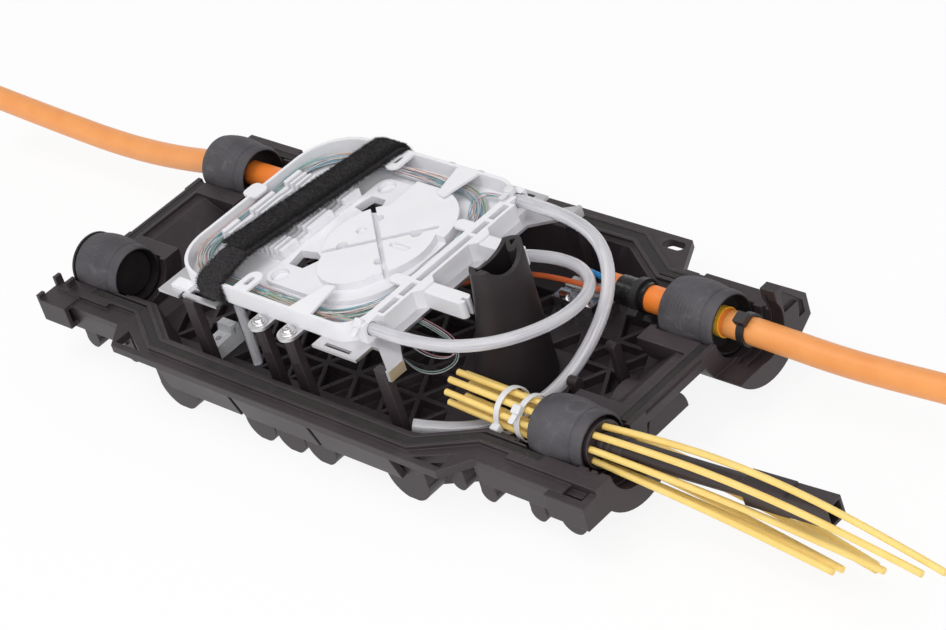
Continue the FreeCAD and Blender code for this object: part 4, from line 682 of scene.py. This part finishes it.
def tieBand(centre, inner, turn, s):
    # band: rounded oblong section turned about X; head and tail: rounded boxes (powers of cosines) on its outside
    t = np.linspace(0, 2 * np.pi, s["bandSteps"], endpoint=False)
    section = np.column_stack([signedPower(np.cos(t), s["bandPowers"][0]) * s["width"] / 2,
                               inner + s["thick"] / 2 * (1 + signedPower(np.sin(t), s["bandPowers"][1]))])
    band = latheX(section[::-1], (0, 0, 0), s["sides"])
    rows, columns = s["boxSteps"]
    u = np.linspace(-np.pi / 2, np.pi / 2, rows)[:, None]
    v = np.linspace(0, 2 * np.pi, columns, endpoint=False)[None, :]
    cosU, sinU, cosV, sinV = (signedPower(f, s["boxPower"]) for f in (np.cos(u), np.sin(u), np.cos(v), np.sin(v)))
    box = np.stack([cosU * cosV, cosU * sinV, sinU + 0 * v], -1)
    boxFaces = capped(box, gridFaces(rows, columns)[:, ::-1], rows, columns, True)[1]
    outer = inner + s["thick"]
    head = box * np.array(s["head"]) / 2 + np.array([0, 0, outer + s["head"][2] / 2 - s["headSink"]])
    tail = box * np.array([s["width"] / 2, s["tail"] / 2, s["thick"] / 2])
    tail += np.array([0, -s["tail"] / 2 - s["tailFrom"], outer + s["tailLift"]])
    tail[..., 2] += s["tailCurl"] * tail[..., 1] ** 2
    points, faces = joined([band, (head, boxFaces), (tail, boxFaces)])
    c, w = np.cos(np.radians(turn)), np.sin(np.radians(turn))
    return points @ np.array([[1, 0, 0], [0, c, w], [0, -w, c]]) + np.array(centre, float), faces


for name, (centre, inner, turn) in tieShape["places"].items():
    stands = [name] if name in nodes else []
    tie = tieBand(centre, inner, turn, tieShape)
    meshPiece(camelName(name) if stands else name, *tie, "white_tie", stands)
print("ties closed")


# light and ground
studio = {"horizon": 1.0, "zenith": 0.44, "fade": (0.16, 0.5), "floorWhite": 0.9, "floorRough": 0.9, "floorShow": 0.88,
          "floorHalf": 4,
          "key": ((-0.25, -0.3, 1.5), 1.2, 9.6), "fill": ((1.0, -0.85, 0.95), 1.0, 10.5)}
world = bpy.data.worlds.new("whiteRoom")
scene.world = world
world.use_nodes = True
tree = world.node_tree
# white round the horizon, dimmer overhead, the same for every kind of ray
height = addNode(tree, "ShaderNodeSeparateXYZ", {0: tree.nodes.new("ShaderNodeTexCoord").outputs["Generated"]})
level = addNode(tree, "ShaderNodeMapRange", {"Value": height.outputs["Z"]}, interpolation_type="SMOOTHSTEP",
                **{"From Min": studio["fade"][0], "From Max": studio["fade"][1], "To Min": studio["horizon"],
                   "To Max": studio["zenith"]})
back = tree.nodes["Background"]
back.inputs["Color"].default_value = (1, 1, 1, 1)
tree.links.new(level.outputs["Result"], back.inputs["Strength"])

# floor: plain white to the part's light, mostly its own even white where it is looked at
floorMaterial = bpy.data.materials.new("whiteFloor")
floorMaterial.use_nodes = True
tree = floorMaterial.node_tree
shader = tree.nodes["Principled BSDF"]
shader.inputs["Base Color"].default_value = (studio["floorWhite"],) * 3 + (1,)
shader.inputs["Roughness"].default_value = studio["floorRough"]
shader.inputs["Specular IOR Level"].default_value = 0.0
glow = addNode(tree, "ShaderNodeEmission", Strength=1.0)
rays = tree.nodes.new("ShaderNodeLightPath").outputs
seen = addNode(tree, "ShaderNodeMath", {0: rays["Is Camera Ray"], 1: rays["Is Glossy Ray"]}, operation="MAXIMUM")
seen = addNode(tree, "ShaderNodeMath", {0: seen.outputs[0], 1: rays["Is Transmission Ray"]}, operation="MAXIMUM")
share = addNode(tree, "ShaderNodeMath", {0: seen.outputs[0]}, operation="MULTIPLY")
share.inputs[1].default_value = studio["floorShow"]
both = addNode(tree, "ShaderNodeMixShader", {0: share.outputs[0], 1: shader.outputs[0], 2: glow.outputs[0]})
tree.links.new(both.outputs[0], tree.nodes["Material Output"].inputs["Surface"])
floorMesh = bpy.data.meshes.new("floorMesh")
edge = studio["floorHalf"]
floorMesh.from_pydata([(-edge, -edge, 0), (edge, -edge, 0), (edge, edge, 0), (-edge, edge, 0)], [], [(0, 1, 2, 3)])
floorMesh.materials.append(floorMaterial)
floor = bpy.data.objects.new("floor", floorMesh)
scene.collection.objects.link(floor)
for name in ("key", "fill"):
    place, size, power = studio[name]
    data = bpy.data.lights.new(name + "Lamp", "AREA")
    data.size = size
    data.energy = power
    lamp = bpy.data.objects.new(name + "Lamp", data)
    away = np.array(place) / np.linalg.norm(place)
    side = np.cross([0, 0, 1.0], away)
    side /= np.linalg.norm(side)
    setDown(lamp, [side, np.cross(away, side), away], place)
print("stage set")
